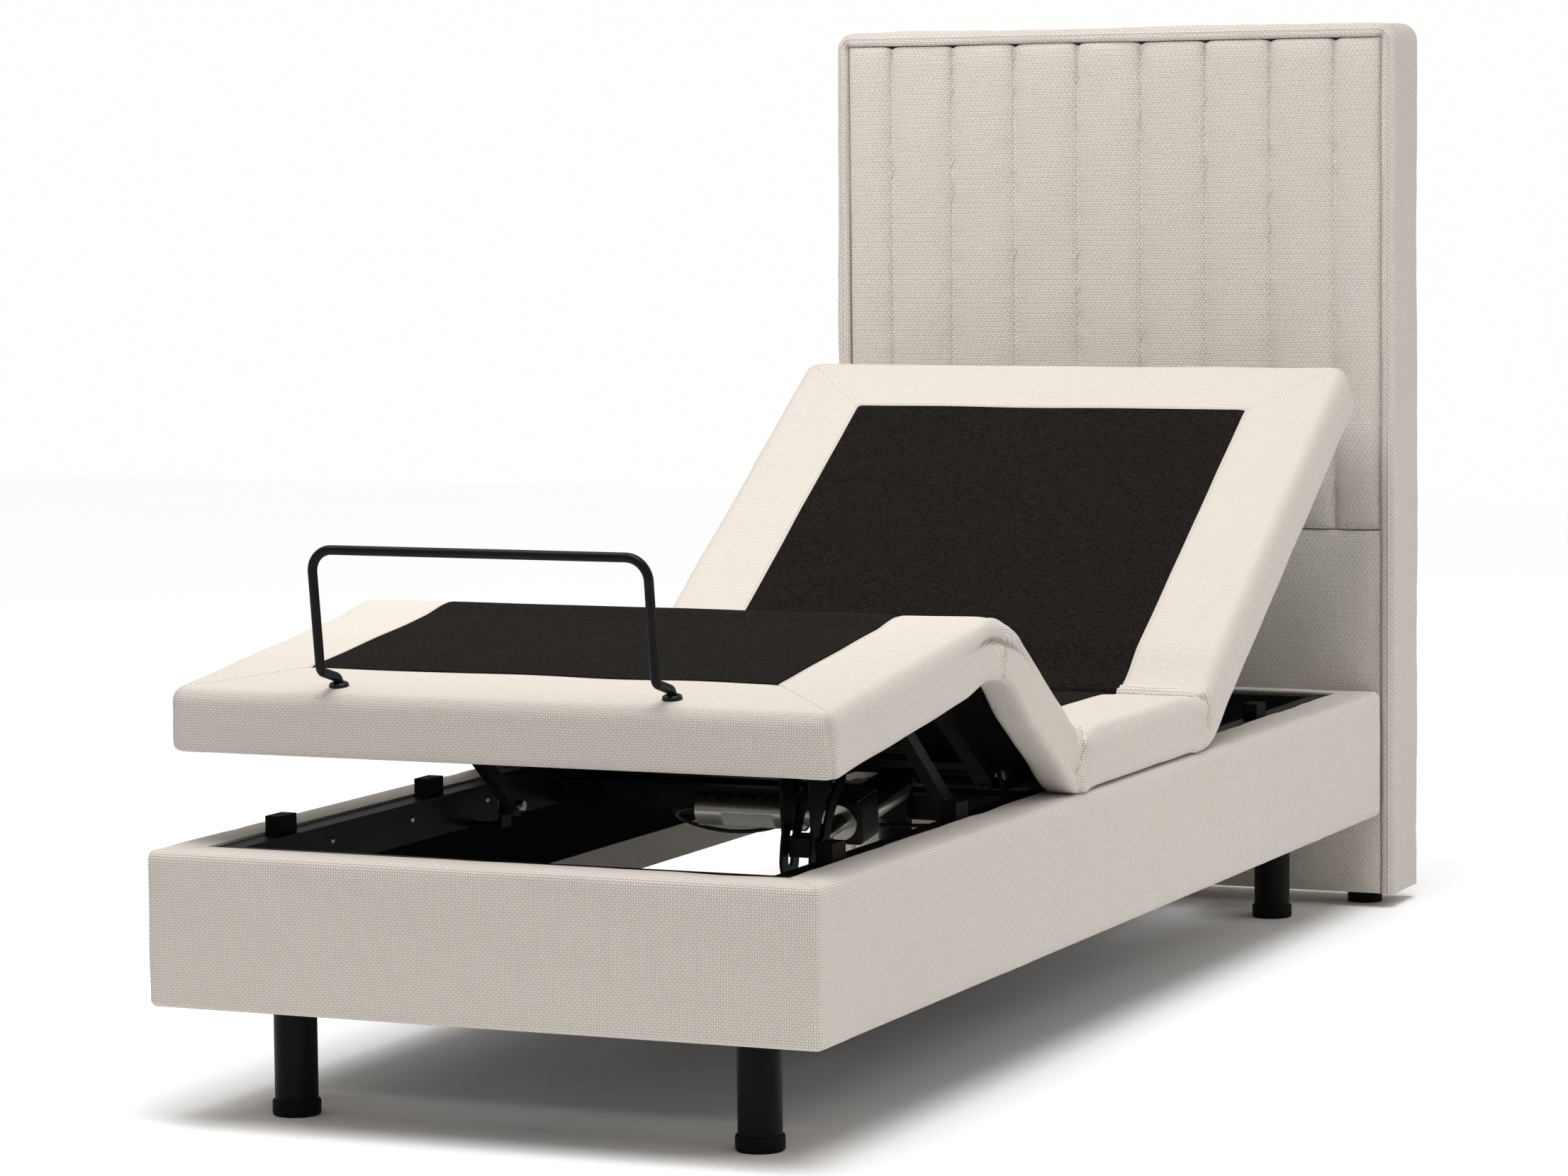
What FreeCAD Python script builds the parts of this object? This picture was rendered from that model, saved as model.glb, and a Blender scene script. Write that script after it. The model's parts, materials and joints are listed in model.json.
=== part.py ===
"""Adjustable bed base with four upholstered sections, two linear drives and a headboard.

Millimetres. +X is to the right seen from the foot, +Y runs to the headboard, +Z is up.
The origin is on the floor under the middle of the whole bed. Sections are drawn flat,
then carried to the rest pose, in which the head, thigh and calf sections are raised.
"""
import FreeCAD, Part
import os
import re
from math import atan2, cos, degrees, hypot, radians, sin, tan

import Sketcher

SIZES = {
    # upholstered box
    "base_width": 830, "base_length": 2030, "leg_length": 135, "box_height": 180,
    "cover_thickness": 4, "rail_thickness": 51, "end_rail_thickness": 41,
    # legs and the blocks that they screw into
    "leg_radius": 25, "cap_radius": 28, "cap_height": 18, "cap_floor": 3,
    "leg_side_inset": 124, "leg_foot_inset": 116.5, "leg_head_inset": 124,
    "block_side": 120, "block_height": 18, "stud_radius": 4,
    # steel frame inside the box
    "angle_height": 56, "angle_width": 30, "angle_wall": 3, "angle_drop": 3,
    "rest_width": 20, "rest_length": 38,
    "crossbar_side": 30, "crossbar_drop": 25, "lug_length": 22, "lug_half_width": 14,
    "rest_near_foot": 185, "rest_past_knee": 55, "rest_past_head_hinge": 380,
    # sections of the platform
    "platform_width": 820, "platform_gap": 2, "pad_height": 74.5, "felt_thickness": 1.5,
    "platform_foot": 5, "calf_length": 495, "thigh_length": 300, "seat_length": 480,
    "head_length": 742, "hinge_rise": 21, "hinge_inset": 14,
    "thigh_hinge": "platform_foot + calf_length + thigh_length", "head_hinge": "thigh_hinge + seat_length",
    "foot_crossbar": "thigh_hinge + 140", "head_crossbar": "head_hinge - 252",
    "knee_mitre": 2, "thigh_mitre": 8, "head_mitre": 20,
    "lip_width": 45, "lip_end": 50, "deck_rise": 18, "deck_thickness": 15, "deck_inset": 5,
    "felt_border": 120, "felt_foot": 127, "felt_head": 135,
    # steel under-frames, hinge plates and pins
    "tube_side": 20, "tube_wall": 1.5, "tube_inset": 65, "brace_inset": 34, "seat_brace_inset": 104,
    "tube_spread": "platform_width / 2 - lip_width - tube_inset", "plate_thickness": 4,
    "plate_radius": 13, "plate_reach": 48, "pin_radius": 6, "pin_head": 9,
    "running_gap": 0.05, "open_gap": 1.2,
    # rest pose
    "rest_thigh": 33, "rest_calf": 7.1, "rest_head": 32.9,
    # struts that fold the calf section
    "strut_foot": "thigh_hinge - 110", "strut_height": 285, "strut_drop": 45, "strut_side": 16,
    "strut_eye": 13.2, "strut_tube_radius": 8,
    # linear drives: roller place when flat, its height under the hinge, travel per degree
    "foot_drive_side": 128, "foot_roller_start": 110, "foot_roller_drop": 64,
    "foot_roller_step": 2.2, "foot_drive_tilt": 8, "foot_lift": 38,
    "head_drive_side": 20, "head_roller_start": 60, "head_roller_drop": 74,
    "head_roller_step": 1.2, "head_drive_tilt": 0, "head_lift": 58,
    "roller_radius": 6, "roller_slack": 1.2, "lever_wall": 18, "lever_gap": 34,
    "thigh_lever_top": 52, "head_lever_top": 62, "foot_nose": 106, "head_nose": 128, "housing_length": 178,
    "rod_radius": 10, "rod_length": 165, "housing_radius": 23,
    "gearbox_side": 52, "motor_radius": 21, "motor_length": 140,
    # control unit
    "control_width": 120, "control_side": -150, "control_height": 36,
    # retainer bar at the foot
    "bar_radius": 5.5, "bar_half_width": 207, "bar_foot": 32, "bar_lean": 39,
    "bar_rise": 167, "bar_corner": 26, "bar_low_bend": 9, "bar_high_bend": 26,
    # headboard
    "headboard_gap": 4.5, "headboard_width": 864, "headboard_top": 1270,
    "headboard_low": 20, "headboard_thickness": 125.5, "border_width": 20,
    "channel_bottom": 545.5, "channel_depth": 22, "board_thickness": 16, "batten_width": 60,
    "headboard_corner": 22, "foot_spread": 370, "foot_radius": 25,
}

doc = FreeCAD.newDocument("adjustable_bed_base")
sheet = doc.addObject("Spreadsheet::Sheet", "sheet")
for row, (name, amount) in enumerate(SIZES.items(), start=1):
    sheet.set(f"A{row}", name)
    sheet.set(f"B{row}", f"={amount}" if isinstance(amount, str) else str(amount))
    sheet.setAlias(f"B{row}", name)
doc.recompute()
nodes = []


# ---------------------------------------------------------------- helpers
def cells(text):
    """An expression in which every named size points at its cell of the sheet."""
    return re.sub(r"[a-z_]+", lambda word: f"sheet.{word[0]}" if word[0] in SIZES else word[0], str(text))


def size(text):
    """The value of such an expression, in millimetres or degrees."""
    return float(sheet.evalExpression(cells(text)))


def along(distance):
    """Row Y of a point so far from the foot face of the box."""
    return f"({distance}) - (base_length + headboard_gap + headboard_thickness) / 2"


def span(low, high, shift=along):
    return shift(low), shift(high)


def sided(low, high, side):
    """A stretch of X on the right (side 1) or mirrored to the left (side -1)."""
    return (low, high) if side > 0 else (f"-({high})", f"-({low})")


def block(x, y, z):
    """A box between the given pairs of low and high places."""
    piece = doc.addObject("Part::Box", "block")
    for axis, side, (low, high) in zip("xyz", ("Length", "Width", "Height"), (x, y, z)):
        piece.setExpression(f"Placement.Base.{axis}", cells(low))
        piece.setExpression(side, cells(f"({high}) - ({low})"))
    return piece


def rod(axis, start, length, radius):
    """A cylinder that starts at a place and runs along +X, +Y or +Z."""
    turns = {"x": FreeCAD.Rotation(FreeCAD.Vector(0, 1, 0), 90),
             "y": FreeCAD.Rotation(FreeCAD.Vector(1, 0, 0), -90), "z": FreeCAD.Rotation()}
    piece = doc.addObject("Part::Cylinder", "rod")
    piece.Placement = FreeCAD.Placement(FreeCAD.Vector(), turns[axis])
    for name, place in zip("xyz", start):
        piece.setExpression(f"Placement.Base.{name}", cells(place))
    piece.setExpression("Radius", cells(radius))
    piece.setExpression("Height", cells(length))
    return piece


def fused(pieces):
    whole = doc.addObject("Part::MultiFuse", "fused")
    whole.Shapes = pieces
    whole.Refine = True
    return whole


def cut(base, tools):
    """The base with every tool taken out of it."""
    for tool in tools:
        result = doc.addObject("Part::Cut", "cut")
        result.Base = base
        result.Tool = tool
        base = result
    return base


def square_tube(x, y, z, axis):
    """A hollow square tube open at both ends of its axis (0 for X, 1 for Y)."""
    hollow = [(f"({low}) + tube_wall", f"({high}) - tube_wall") for low, high in (x, y, z)]
    hollow[axis] = (x, y)[axis]
    return cut(block(x, y, z), [block(*hollow)])


def profile(outline, width):
    """A body whose YZ outline is padded to both sides of the middle plane."""
    body = doc.addObject("PartDesign::Body", "profile")
    sketch = body.newObject("Sketcher::SketchObject", "outline")
    plane = [item for item in body.Origin.OriginFeatures if item.Role == "YZ_Plane"][0]
    sketch.AttachmentSupport = (plane, "")
    sketch.MapMode = "FlatFace"
    points = [FreeCAD.Vector(size(y), size(z), 0) for y, z in outline]
    for index, point in enumerate(points):
        sketch.addGeometry(Part.LineSegment(point, points[(index + 1) % len(points)]), False)
    for index in range(len(points)):
        follower = (index + 1) % len(points)
        sketch.addConstraint(Sketcher.Constraint("Coincident", index, 2, follower, 1))
    for index, (point, (y, z)) in enumerate(zip(points, outline)):
        for kind, now, text in (("DistanceX", point.x, y), ("DistanceY", point.y, z)):
            row = sketch.addConstraint(Sketcher.Constraint(kind, -1, 1, index, 1, now))
            sketch.setExpression(f"Constraints[{row}]", cells(text))
    pad = body.newObject("PartDesign::Pad", "pad")
    pad.Profile = sketch
    pad.SideType = "Symmetric"
    pad.setExpression("Length", cells(width))
    return body


def node(label, pieces, placement=None):
    """Close a sub-part: one piece or a group of separate solids, carried to its place."""
    whole = doc.addObject("Part::Compound", "node")
    whole.Links = pieces
    whole.Label = label
    doc.recompute()
    if placement:
        whole.Placement = placement
    nodes.append(whole)
    return whole


def free_node(label, shape, placement=None):
    """A sub-part whose shape is worked out from the sheet's values in this file."""
    whole = doc.addObject("Part::Feature", "shape")
    whole.Shape = shape
    whole.Label = label
    if placement:
        whole.Placement = placement
    nodes.append(whole)
    return whole


# ---------------------------------------------------------------- levels and hinges
BOX_TOP = "leg_length + box_height"
RAIL_OUT = "base_width / 2 - cover_thickness"
RAIL_IN = "base_width / 2 - cover_thickness - rail_thickness"
RAIL_LOW, RAIL_HIGH = "leg_length + cover_thickness", f"{BOX_TOP} - cover_thickness"
FRAME_TOP = f"{BOX_TOP} - angle_drop"
PAD_LOW = f"{BOX_TOP} + platform_gap"
PAD_TOP = f"{PAD_LOW} + pad_height"
DECK_LOW = f"{PAD_LOW} + deck_rise"
DECK_HIGH = f"{DECK_LOW} + deck_thickness"
TUBE_LOW = f"{DECK_LOW} - tube_side"
HINGE_Z = f"{PAD_LOW} + hinge_rise"
KNEE = "platform_foot + calf_length"
THIGH_HINGE = "thigh_hinge"
HEAD_HINGE = "head_hinge"
HEAD_END = f"{HEAD_HINGE} + head_length"
SIDE_TO_SIDE = FreeCAD.Vector(1, 0, 0)


def point(distance, height):
    return FreeCAD.Vector(0, size(along(distance)), size(height))


def turned(centre, angle):
    return FreeCAD.Placement(FreeCAD.Vector(), FreeCAD.Rotation(SIDE_TO_SIDE, angle), centre)


AT_THIGH = turned(point(THIGH_HINGE, HINGE_Z), -size("rest_thigh"))
AT_HEAD = turned(point(HEAD_HINGE, HINGE_Z), size("rest_head"))
KNEE_FLAT = point(KNEE, HINGE_Z)
KNEE_REST = AT_THIGH.multVec(KNEE_FLAT)
AT_CALF = FreeCAD.Placement(KNEE_REST - KNEE_FLAT, FreeCAD.Rotation()).multiply(
    turned(KNEE_FLAT, size("rest_calf")))


# ---------------------------------------------------------------- upholstered box
def box_rails():
    """Four boards on edge; the side rails run the full length between the end covers."""
    for side, label in ((-1, "side_rail_left"), (1, "side_rail_right")):
        node(label, [block(sided(RAIL_IN, RAIL_OUT, side),
                           span("cover_thickness", "base_length - cover_thickness"),
                           (RAIL_LOW, RAIL_HIGH))])
    inner = (f"-({RAIL_IN})", RAIL_IN)
    foot_edge = "cover_thickness + end_rail_thickness"
    head_edge = "base_length - cover_thickness - end_rail_thickness"
    node("foot_rail", [block(inner, span("cover_thickness", foot_edge), (RAIL_LOW, RAIL_HIGH))])
    node("head_rail", [block(inner, span(head_edge, "base_length - cover_thickness"),
                             (RAIL_LOW, RAIL_HIGH))])


def base_cover():
    """Fabric over a thin foam: outside faces, top and bottom edges and a hem turned inside."""
    outside = block(("-base_width / 2", "base_width / 2"), span("0", "base_length"),
                    ("leg_length", BOX_TOP))
    inside_x = (f"-({RAIL_IN})", RAIL_IN)
    inside_y = span("cover_thickness + end_rail_thickness",
                    "base_length - cover_thickness - end_rail_thickness")
    boards = block((f"-({RAIL_OUT})", RAIL_OUT), span("cover_thickness", "base_length - cover_thickness"),
                   (RAIL_LOW, RAIL_HIGH))
    opening = block(inside_x, inside_y, ("leg_length - 1", f"{BOX_TOP} + 1"))
    node("base_cover", [cut(outside, [boards, opening])])


def legs():
    """Round legs with a foot cap; a threaded stud on each goes up into its corner block."""
    places = {"foot": "leg_foot_inset", "head": "base_length - leg_head_inset"}
    blocks, caps = [], []
    for side, hand in ((-1, "left"), (1, "right")):
        x = f"{side} * (base_width / 2 - leg_side_inset)"
        for end, place in places.items():
            y = along(place)
            post = rod("z", (x, y, "cap_floor"), f"{RAIL_LOW} - cap_floor", "leg_radius")
            stud = rod("z", (x, y, RAIL_LOW), "block_height", "stud_radius")
            node(f"leg_{end}_{hand}", [fused([post, stud])])
            cap = rod("z", (x, y, "0"), "cap_height", "cap_radius")
            socket = rod("z", (x, y, "cap_floor"), "cap_height", "leg_radius")
            caps.append(cut(cap, [socket]))
            edge = "cover_thickness + end_rail_thickness"
            near = (edge, f"{edge} + block_side")
            far = (f"base_length - ({edge}) - block_side", f"base_length - ({edge})")
            board = block(sided(f"{RAIL_IN} - block_side", RAIL_IN, side),
                          span(*(near if end == "foot" else far)),
                          (RAIL_LOW, f"{RAIL_LOW} + block_height"))
            hole = rod("z", (x, y, RAIL_LOW), "block_height", "stud_radius")
            blocks.append(cut(board, [hole]))
    node("leg_blocks", blocks)
    node("leg_caps", caps)


# ---------------------------------------------------------------- steel frame in the box
ANGLE_END = "cover_thickness + end_rail_thickness"


def frame_angles():
    """Steel angles screwed inside the four rails; the platform rests over their flanges."""
    angles = []
    flange = (f"{FRAME_TOP} - angle_wall", FRAME_TOP)
    upright = (f"{FRAME_TOP} - angle_height", FRAME_TOP)
    for side in (-1, 1):
        leaf = block(sided(f"{RAIL_IN} - angle_wall", RAIL_IN, side),
                     span(ANGLE_END, f"base_length - ({ANGLE_END})"), upright)
        shelf = block(sided(f"{RAIL_IN} - angle_width", RAIL_IN, side),
                      span(ANGLE_END, f"base_length - ({ANGLE_END})"), flange)
        angles.append(fused([leaf, shelf]))
    across = (f"-({RAIL_IN}) + angle_width", f"{RAIL_IN} - angle_width")
    for near, far in ((ANGLE_END, 1), (f"base_length - ({ANGLE_END})", -1)):
        wall = sorted((near, f"{near} + {far} * angle_wall"), key=size)
        shelf = sorted((near, f"{near} + {far} * angle_width"), key=size)
        angles.append(fused([block(across, span(*wall), upright), block(across, span(*shelf), flange)]))
    node("frame_angles", angles)


def crossbars():
    """Two square bars between the side angles, each with a lug for a drive."""
    bars = []
    top = f"{FRAME_TOP} - crossbar_drop"
    for place, drive, toward in (("foot_crossbar", "foot_drive_side", -1),
                                 ("head_crossbar", "head_drive_side", 1)):
        half = "crossbar_side / 2"
        bar = block((f"-({RAIL_IN}) + angle_wall", f"{RAIL_IN} - angle_wall"),
                    span(f"{place} - {half}", f"{place} + {half}"), (f"{top} - crossbar_side", top))
        reach = sorted((f"{place} + {toward} * ({half})", f"{place} + {toward} * ({half} + lug_length)"), key=size)
        lug = block((f"{drive} - lug_half_width", f"{drive} + lug_half_width"), span(*reach),
                    (f"{top} - crossbar_side", FRAME_TOP if toward < 0 else top))
        bars.append(fused([bar, lug]))
    node("drive_crossbars", bars)


def support_blocks():
    """Rubber blocks on the side angles, which the sections lie on when flat."""
    places = ("platform_foot + rest_near_foot", f"{KNEE} + rest_past_knee", f"{HEAD_HINGE} + rest_past_head_hinge")
    rests = []
    for side in (-1, 1):
        for place in places:
            rests.append(block(sided(f"{RAIL_IN} - angle_wall - rest_width", f"{RAIL_IN} - angle_wall", side),
                               span(f"{place} - rest_length / 2", f"{place} + rest_length / 2"),
                               (FRAME_TOP, f"{DECK_LOW} - 0.5")))
    node("support_blocks", rests)


# ---------------------------------------------------------------- platform sections
def section(name, low, high, low_top, high_top, placement, lip_at=None, brace="brace_inset"):
    """Pad with a recess for its deck board, the board, and the tube frame under it.

    low and high are the pad's ends from the foot face; low_top and high_top are how far
    each end leans back at the top. lip_at tells which end, if any, keeps its lip, and
    brace is how far the cross tubes stand in from the board's ends.
    """
    outline = [(along(low), PAD_LOW), (along(low), HINGE_Z), (along(f"{low} + {low_top}"), PAD_TOP),
               (along(f"{high} - {high_top}"), PAD_TOP), (along(high), HINGE_Z), (along(high), PAD_LOW)]
    inner = "platform_width / 2 - lip_width"
    near = f"{low} + lip_end" if lip_at == "low" else f"{low} - 1"
    far = f"{high} - lip_end" if lip_at == "high" else f"{high} + 1"
    recess = block((f"-({inner})", inner), span(near, far), (f"{PAD_LOW} - 1", DECK_HIGH))
    node(f"{name}_pad", [cut(profile(outline, "platform_width"), [recess])], placement)

    half = f"{inner} - deck_inset"
    start = f"{low} + lip_end + 1" if lip_at == "low" else f"{low} + 2"
    stop = f"{high} - lip_end - 1" if lip_at == "high" else f"{high} - 2"
    node(f"{name}_deck", [block((f"-({half})", half), span(start, stop), (DECK_LOW, DECK_HIGH))], placement)

    tubes = []
    for side in (-1, 1):
        tubes.append(square_tube(sided("tube_spread - tube_side / 2", "tube_spread + tube_side / 2", side),
                                 span(start, stop), (TUBE_LOW, DECK_LOW), 1))
    between = ("-tube_spread + tube_side / 2", "tube_spread - tube_side / 2")
    for place in (f"{start} + {brace}", f"{stop} - {brace} - tube_side"):
        tubes.append(square_tube(between, span(place, f"{place} + tube_side"), (TUBE_LOW, DECK_LOW), 0))
    node(f"{name}_frame", tubes, placement)


def felt(name, low, high, placement):
    """Black non-woven panel let into the middle of a section's top."""
    half = "platform_width / 2 - felt_border"
    node(f"{name}_felt", [block((f"-({half})", half), span(low, high),
                                (PAD_TOP, f"{PAD_TOP} + felt_thickness"))], placement)


def hinge_plate(side, hinge, toward, outer, radius):
    """A steel ear beside a frame tube, from the hinge axis back along the tube."""
    face = "tube_spread + tube_side / 2" if outer else "tube_spread - tube_side / 2 - plate_thickness"
    x = sided(face, f"{face} + plate_thickness", side)
    reach = sorted((hinge, f"{hinge} + {toward} * plate_reach"), key=size)
    eye = rod("x", (x[0], along(hinge), HINGE_Z), "plate_thickness", "plate_radius")
    arm = block(x, span(*reach), (TUBE_LOW, DECK_LOW))
    bore = rod("x", (x[0], along(hinge), HINGE_Z), "plate_thickness", radius)
    return cut(fused([eye, arm]), [bore])


def hinge_pin(side, hinge, height):
    """A headed pin through an inner and an outer plate."""
    low, high = "tube_spread - tube_side / 2 - plate_thickness - 1.5", "tube_spread + tube_side / 2 + plate_thickness"
    start = low if side > 0 else f"-({high}) - 4"
    shank = rod("x", (start, along(hinge), height), f"({high}) - ({low}) + 4", "pin_radius")
    head_start = high if side > 0 else f"-({high}) - 4"
    return fused([shank, rod("x", (head_start, along(hinge), height), "4", "pin_head")])


def sections():
    inset = "hinge_inset"
    section("calf", "platform_foot", f"{KNEE} - {inset}", "0", "knee_mitre", AT_CALF, "low")
    section("thigh", f"{KNEE} + {inset}", f"{THIGH_HINGE} - {inset}", "knee_mitre", "thigh_mitre", AT_THIGH)
    section("seat", f"{THIGH_HINGE} + {inset}", f"{HEAD_HINGE} - {inset}", "thigh_mitre", "head_mitre", None,
            brace="seat_brace_inset")
    section("head", f"{HEAD_HINGE} + {inset}", HEAD_END, "head_mitre", "0", AT_HEAD, "high")
    felt("calf", "platform_foot + felt_foot", f"{KNEE} - {inset} - knee_mitre", AT_CALF)
    felt("thigh", f"{KNEE} + {inset} + knee_mitre", f"{THIGH_HINGE} - {inset} - thigh_mitre", AT_THIGH)
    felt("seat", f"{THIGH_HINGE} + {inset} + thigh_mitre", f"{HEAD_HINGE} - {inset} - head_mitre", None)
    felt("head", f"{HEAD_HINGE} + {inset} + head_mitre", f"{HEAD_END} - felt_head", AT_HEAD)


def hinges():
    """Outer plates carry the pin, inner plates turn on it."""
    held, turning = "pin_radius", "pin_radius + running_gap"
    sides = (-1, 1)
    node("seat_hinge_plates", [hinge_plate(side, hinge, toward, True, held)
                               for side in sides for hinge, toward in ((THIGH_HINGE, 1), (HEAD_HINGE, -1))])
    node("thigh_hinge_plates", [hinge_plate(side, hinge, toward, outer, radius) for side in sides
                                for hinge, toward, outer, radius in ((THIGH_HINGE, -1, False, turning),
                                                                     (KNEE, 1, True, held))], AT_THIGH)
    node("head_hinge_plates", [hinge_plate(side, HEAD_HINGE, 1, False, turning) for side in sides], AT_HEAD)
    node("knee_hinge_pins", [hinge_pin(side, KNEE, HINGE_Z) for side in sides], AT_THIGH)
    node("base_hinge_pins", [hinge_pin(side, place, height) for side in sides for place, height in
                             ((THIGH_HINGE, HINGE_Z), (HEAD_HINGE, HINGE_Z))])


# ---------------------------------------------------------------- struts under the calf section
def strut_geometry():
    """The calf pivot that lets one strut length serve both the flat and the rest pose."""
    pivot = point("strut_foot", "strut_height")
    drop = size("strut_drop")
    turn = AT_CALF.Rotation
    flat, rest = KNEE_FLAT - pivot, KNEE_REST - pivot

    def mismatch(back):
        arm = FreeCAD.Vector(0, -back, -drop)
        return (arm + flat).Length ** 2 - (turn.multVec(arm) + rest).Length ** 2

    slope = mismatch(1) - mismatch(0)
    back = -mismatch(0) / slope
    arm = FreeCAD.Vector(0, -back, -drop)
    end = KNEE_FLAT + arm
    reach = AT_CALF.multVec(end) - pivot
    return pivot, end, reach.Length, degrees(atan2(reach.z, -reach.y)), back


def struts():
    """Two struts and their cross tube turn on brackets; their far eyes take the calf pins."""
    pivot, end, length, lean, back = strut_geometry()
    half, side_tube = "strut_side / 2", "tube_spread"
    pieces = []
    for side in (-1, 1):
        x = sided(f"{side_tube} - {half}", f"{side_tube} + {half}", side)
        bar = block(x, (str(-length + 8), "-8"), (f"-({half})", half))
        eyes = [rod("x", (x[0], place, "0"), "strut_side", "strut_eye") for place in ("0", str(-length))]
        bores = [rod("x", (x[0], "0", "0"), "strut_side", "pin_radius + running_gap"),
                 rod("x", (x[0], str(-length), "0"), "strut_side", "pin_radius + open_gap")]
        pieces.append(cut(fused([bar] + eyes), bores))
    pieces.append(rod("x", (f"-{side_tube} + {half}", str(-0.7 * length), "0"),
                      f"2 * {side_tube} - strut_side", "strut_tube_radius"))
    node("lift_struts", pieces, FreeCAD.Placement(pivot, FreeCAD.Rotation(SIDE_TO_SIDE, -lean)))

    brackets, pins = [], []
    for side in (-1, 1):
        face = "tube_spread + tube_side / 2"
        x = sided(face, f"{face} + plate_thickness", side)
        y, z = along("strut_foot"), "strut_height"
        ear = fused([rod("x", (x[0], y, z), "plate_thickness", "plate_radius"),
                     block(x, span("strut_foot - 13", "strut_foot + 13"), (f"{z} - 24", z))])
        foot = block(sided(face, f"{RAIL_IN} - angle_wall", side), span("strut_foot - 13", "strut_foot + 13"),
                     (f"{z} - 28", f"{z} - 24"))
        hole = rod("x", (x[0], y, z), "plate_thickness", "pin_radius")
        brackets.append(cut(fused([ear, foot]), [hole]))
        pins.append(hinge_pin(side, "strut_foot", z))
    node("strut_brackets", brackets)
    node("strut_pins", pins)

    plates = []
    for side in (-1, 1):
        face = "tube_spread + tube_side / 2"
        x = sided(face, f"{face} + plate_thickness", side)
        near = f"{KNEE} - {back}"
        lug = fused([rod("x", (x[0], along(near), f"{HINGE_Z} - strut_drop"), "plate_thickness", "plate_radius"),
                     block(x, span(f"{near} - 13", f"{near} + 13"), (f"{HINGE_Z} - strut_drop", DECK_LOW))])
        stub = rod("x", (sided(f"{face} - tube_side", face, side)[0], along(near), f"{HINGE_Z} - strut_drop"),
                   "tube_side", "pin_radius")
        plates.append(fused([lug, stub]))
        plates.append(hinge_plate(side, KNEE, -1, False, "pin_radius + running_gap"))
    node("calf_hinge_plates", plates, AT_CALF)
    print("strut", round(length, 2), "lean", round(lean, 2), "flat lean",
          round(degrees(atan2(end.z - pivot.z, pivot.y - end.y)), 2))


# ---------------------------------------------------------------- linear drives
def drive_path(drive, angle):
    """Roller place in the raised section's own flat frame: out from the hinge, and up."""
    tilt = radians(size(f"{drive}_drive_tilt"))
    travel = size(f"{drive}_roller_step") * angle
    out = size(f"{drive}_roller_start") + travel * cos(tilt)
    drop = size(f"{drive}_roller_drop") + travel * sin(tilt)
    turn = radians(angle)
    return out * cos(turn) - drop * sin(turn), -out * sin(turn) - drop * cos(turn)


def arc_slot(points, half_width):
    """A face with round ends that follows the arc through three points."""
    places = [FreeCAD.Vector(0, y, z) for y, z in points]
    middle = Part.Arc(*places).toShape().Curve
    centre, radius = middle.Center, middle.Radius

    def rim(place, distance):
        return centre + (place - centre).normalize() * distance

    def along_end(place, before):
        radial = (place - centre).normalize()
        tangent = FreeCAD.Vector(0, -radial.z, radial.y)
        if tangent.dot(before - place) > 0:
            tangent = -tangent
        return place + tangent * half_width

    outer = [rim(place, radius + half_width) for place in places]
    inner = [rim(place, radius - half_width) for place in places]
    edges = [Part.Arc(*outer), Part.Arc(outer[2], along_end(places[2], places[1]), inner[2]),
             Part.Arc(*reversed(inner)), Part.Arc(inner[0], along_end(places[0], places[1]), outer[0])]
    return Part.Face(Part.Wire([edge.toShape() for edge in edges]))


def lever(label, drive, hinge, toward, crossbar, placement):
    """Twin slotted plates under a section; the drive's roller runs in both slots."""
    lift = size(f"{drive}_lift")
    path = [drive_path(drive, share * lift) for share in (0, 0.5, 1)]
    wide = arc_slot(path, size("roller_radius + roller_slack + lever_wall"))
    slot = arc_slot(path, size("roller_radius + roller_slack"))
    low = size(TUBE_LOW) - size(HINGE_Z)
    (top_y, top_z), (end_y, end_z) = path[0], path[2]
    near, far = crossbar
    corners = [(near, low), (far, low), (end_y + 14, end_z - 6), (end_y - 6, end_z - 6), (top_y, top_z)]
    arm = Part.Face(Part.makePolygon([FreeCAD.Vector(0, y, z) for y, z in corners + corners[:1]]))
    thick = size("plate_thickness")
    plates = []
    middle = size(f"{drive}_drive_side")
    for start in (middle - size("lever_gap") / 2 - thick, middle + size("lever_gap") / 2):
        plate = wide.fuse(arm).removeSplitter().extrude(FreeCAD.Vector(thick, 0, 0))
        plate = plate.cut(slot.extrude(FreeCAD.Vector(thick, 0, 0)))
        if toward < 0:
            plate = plate.mirror(FreeCAD.Vector(), FreeCAD.Vector(0, 1, 0))
        plate.translate(FreeCAD.Vector(start, 0, 0) + point(hinge, HINGE_Z))
        plates.append(plate)
    free_node(label, Part.makeCompound(plates), placement)


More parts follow.
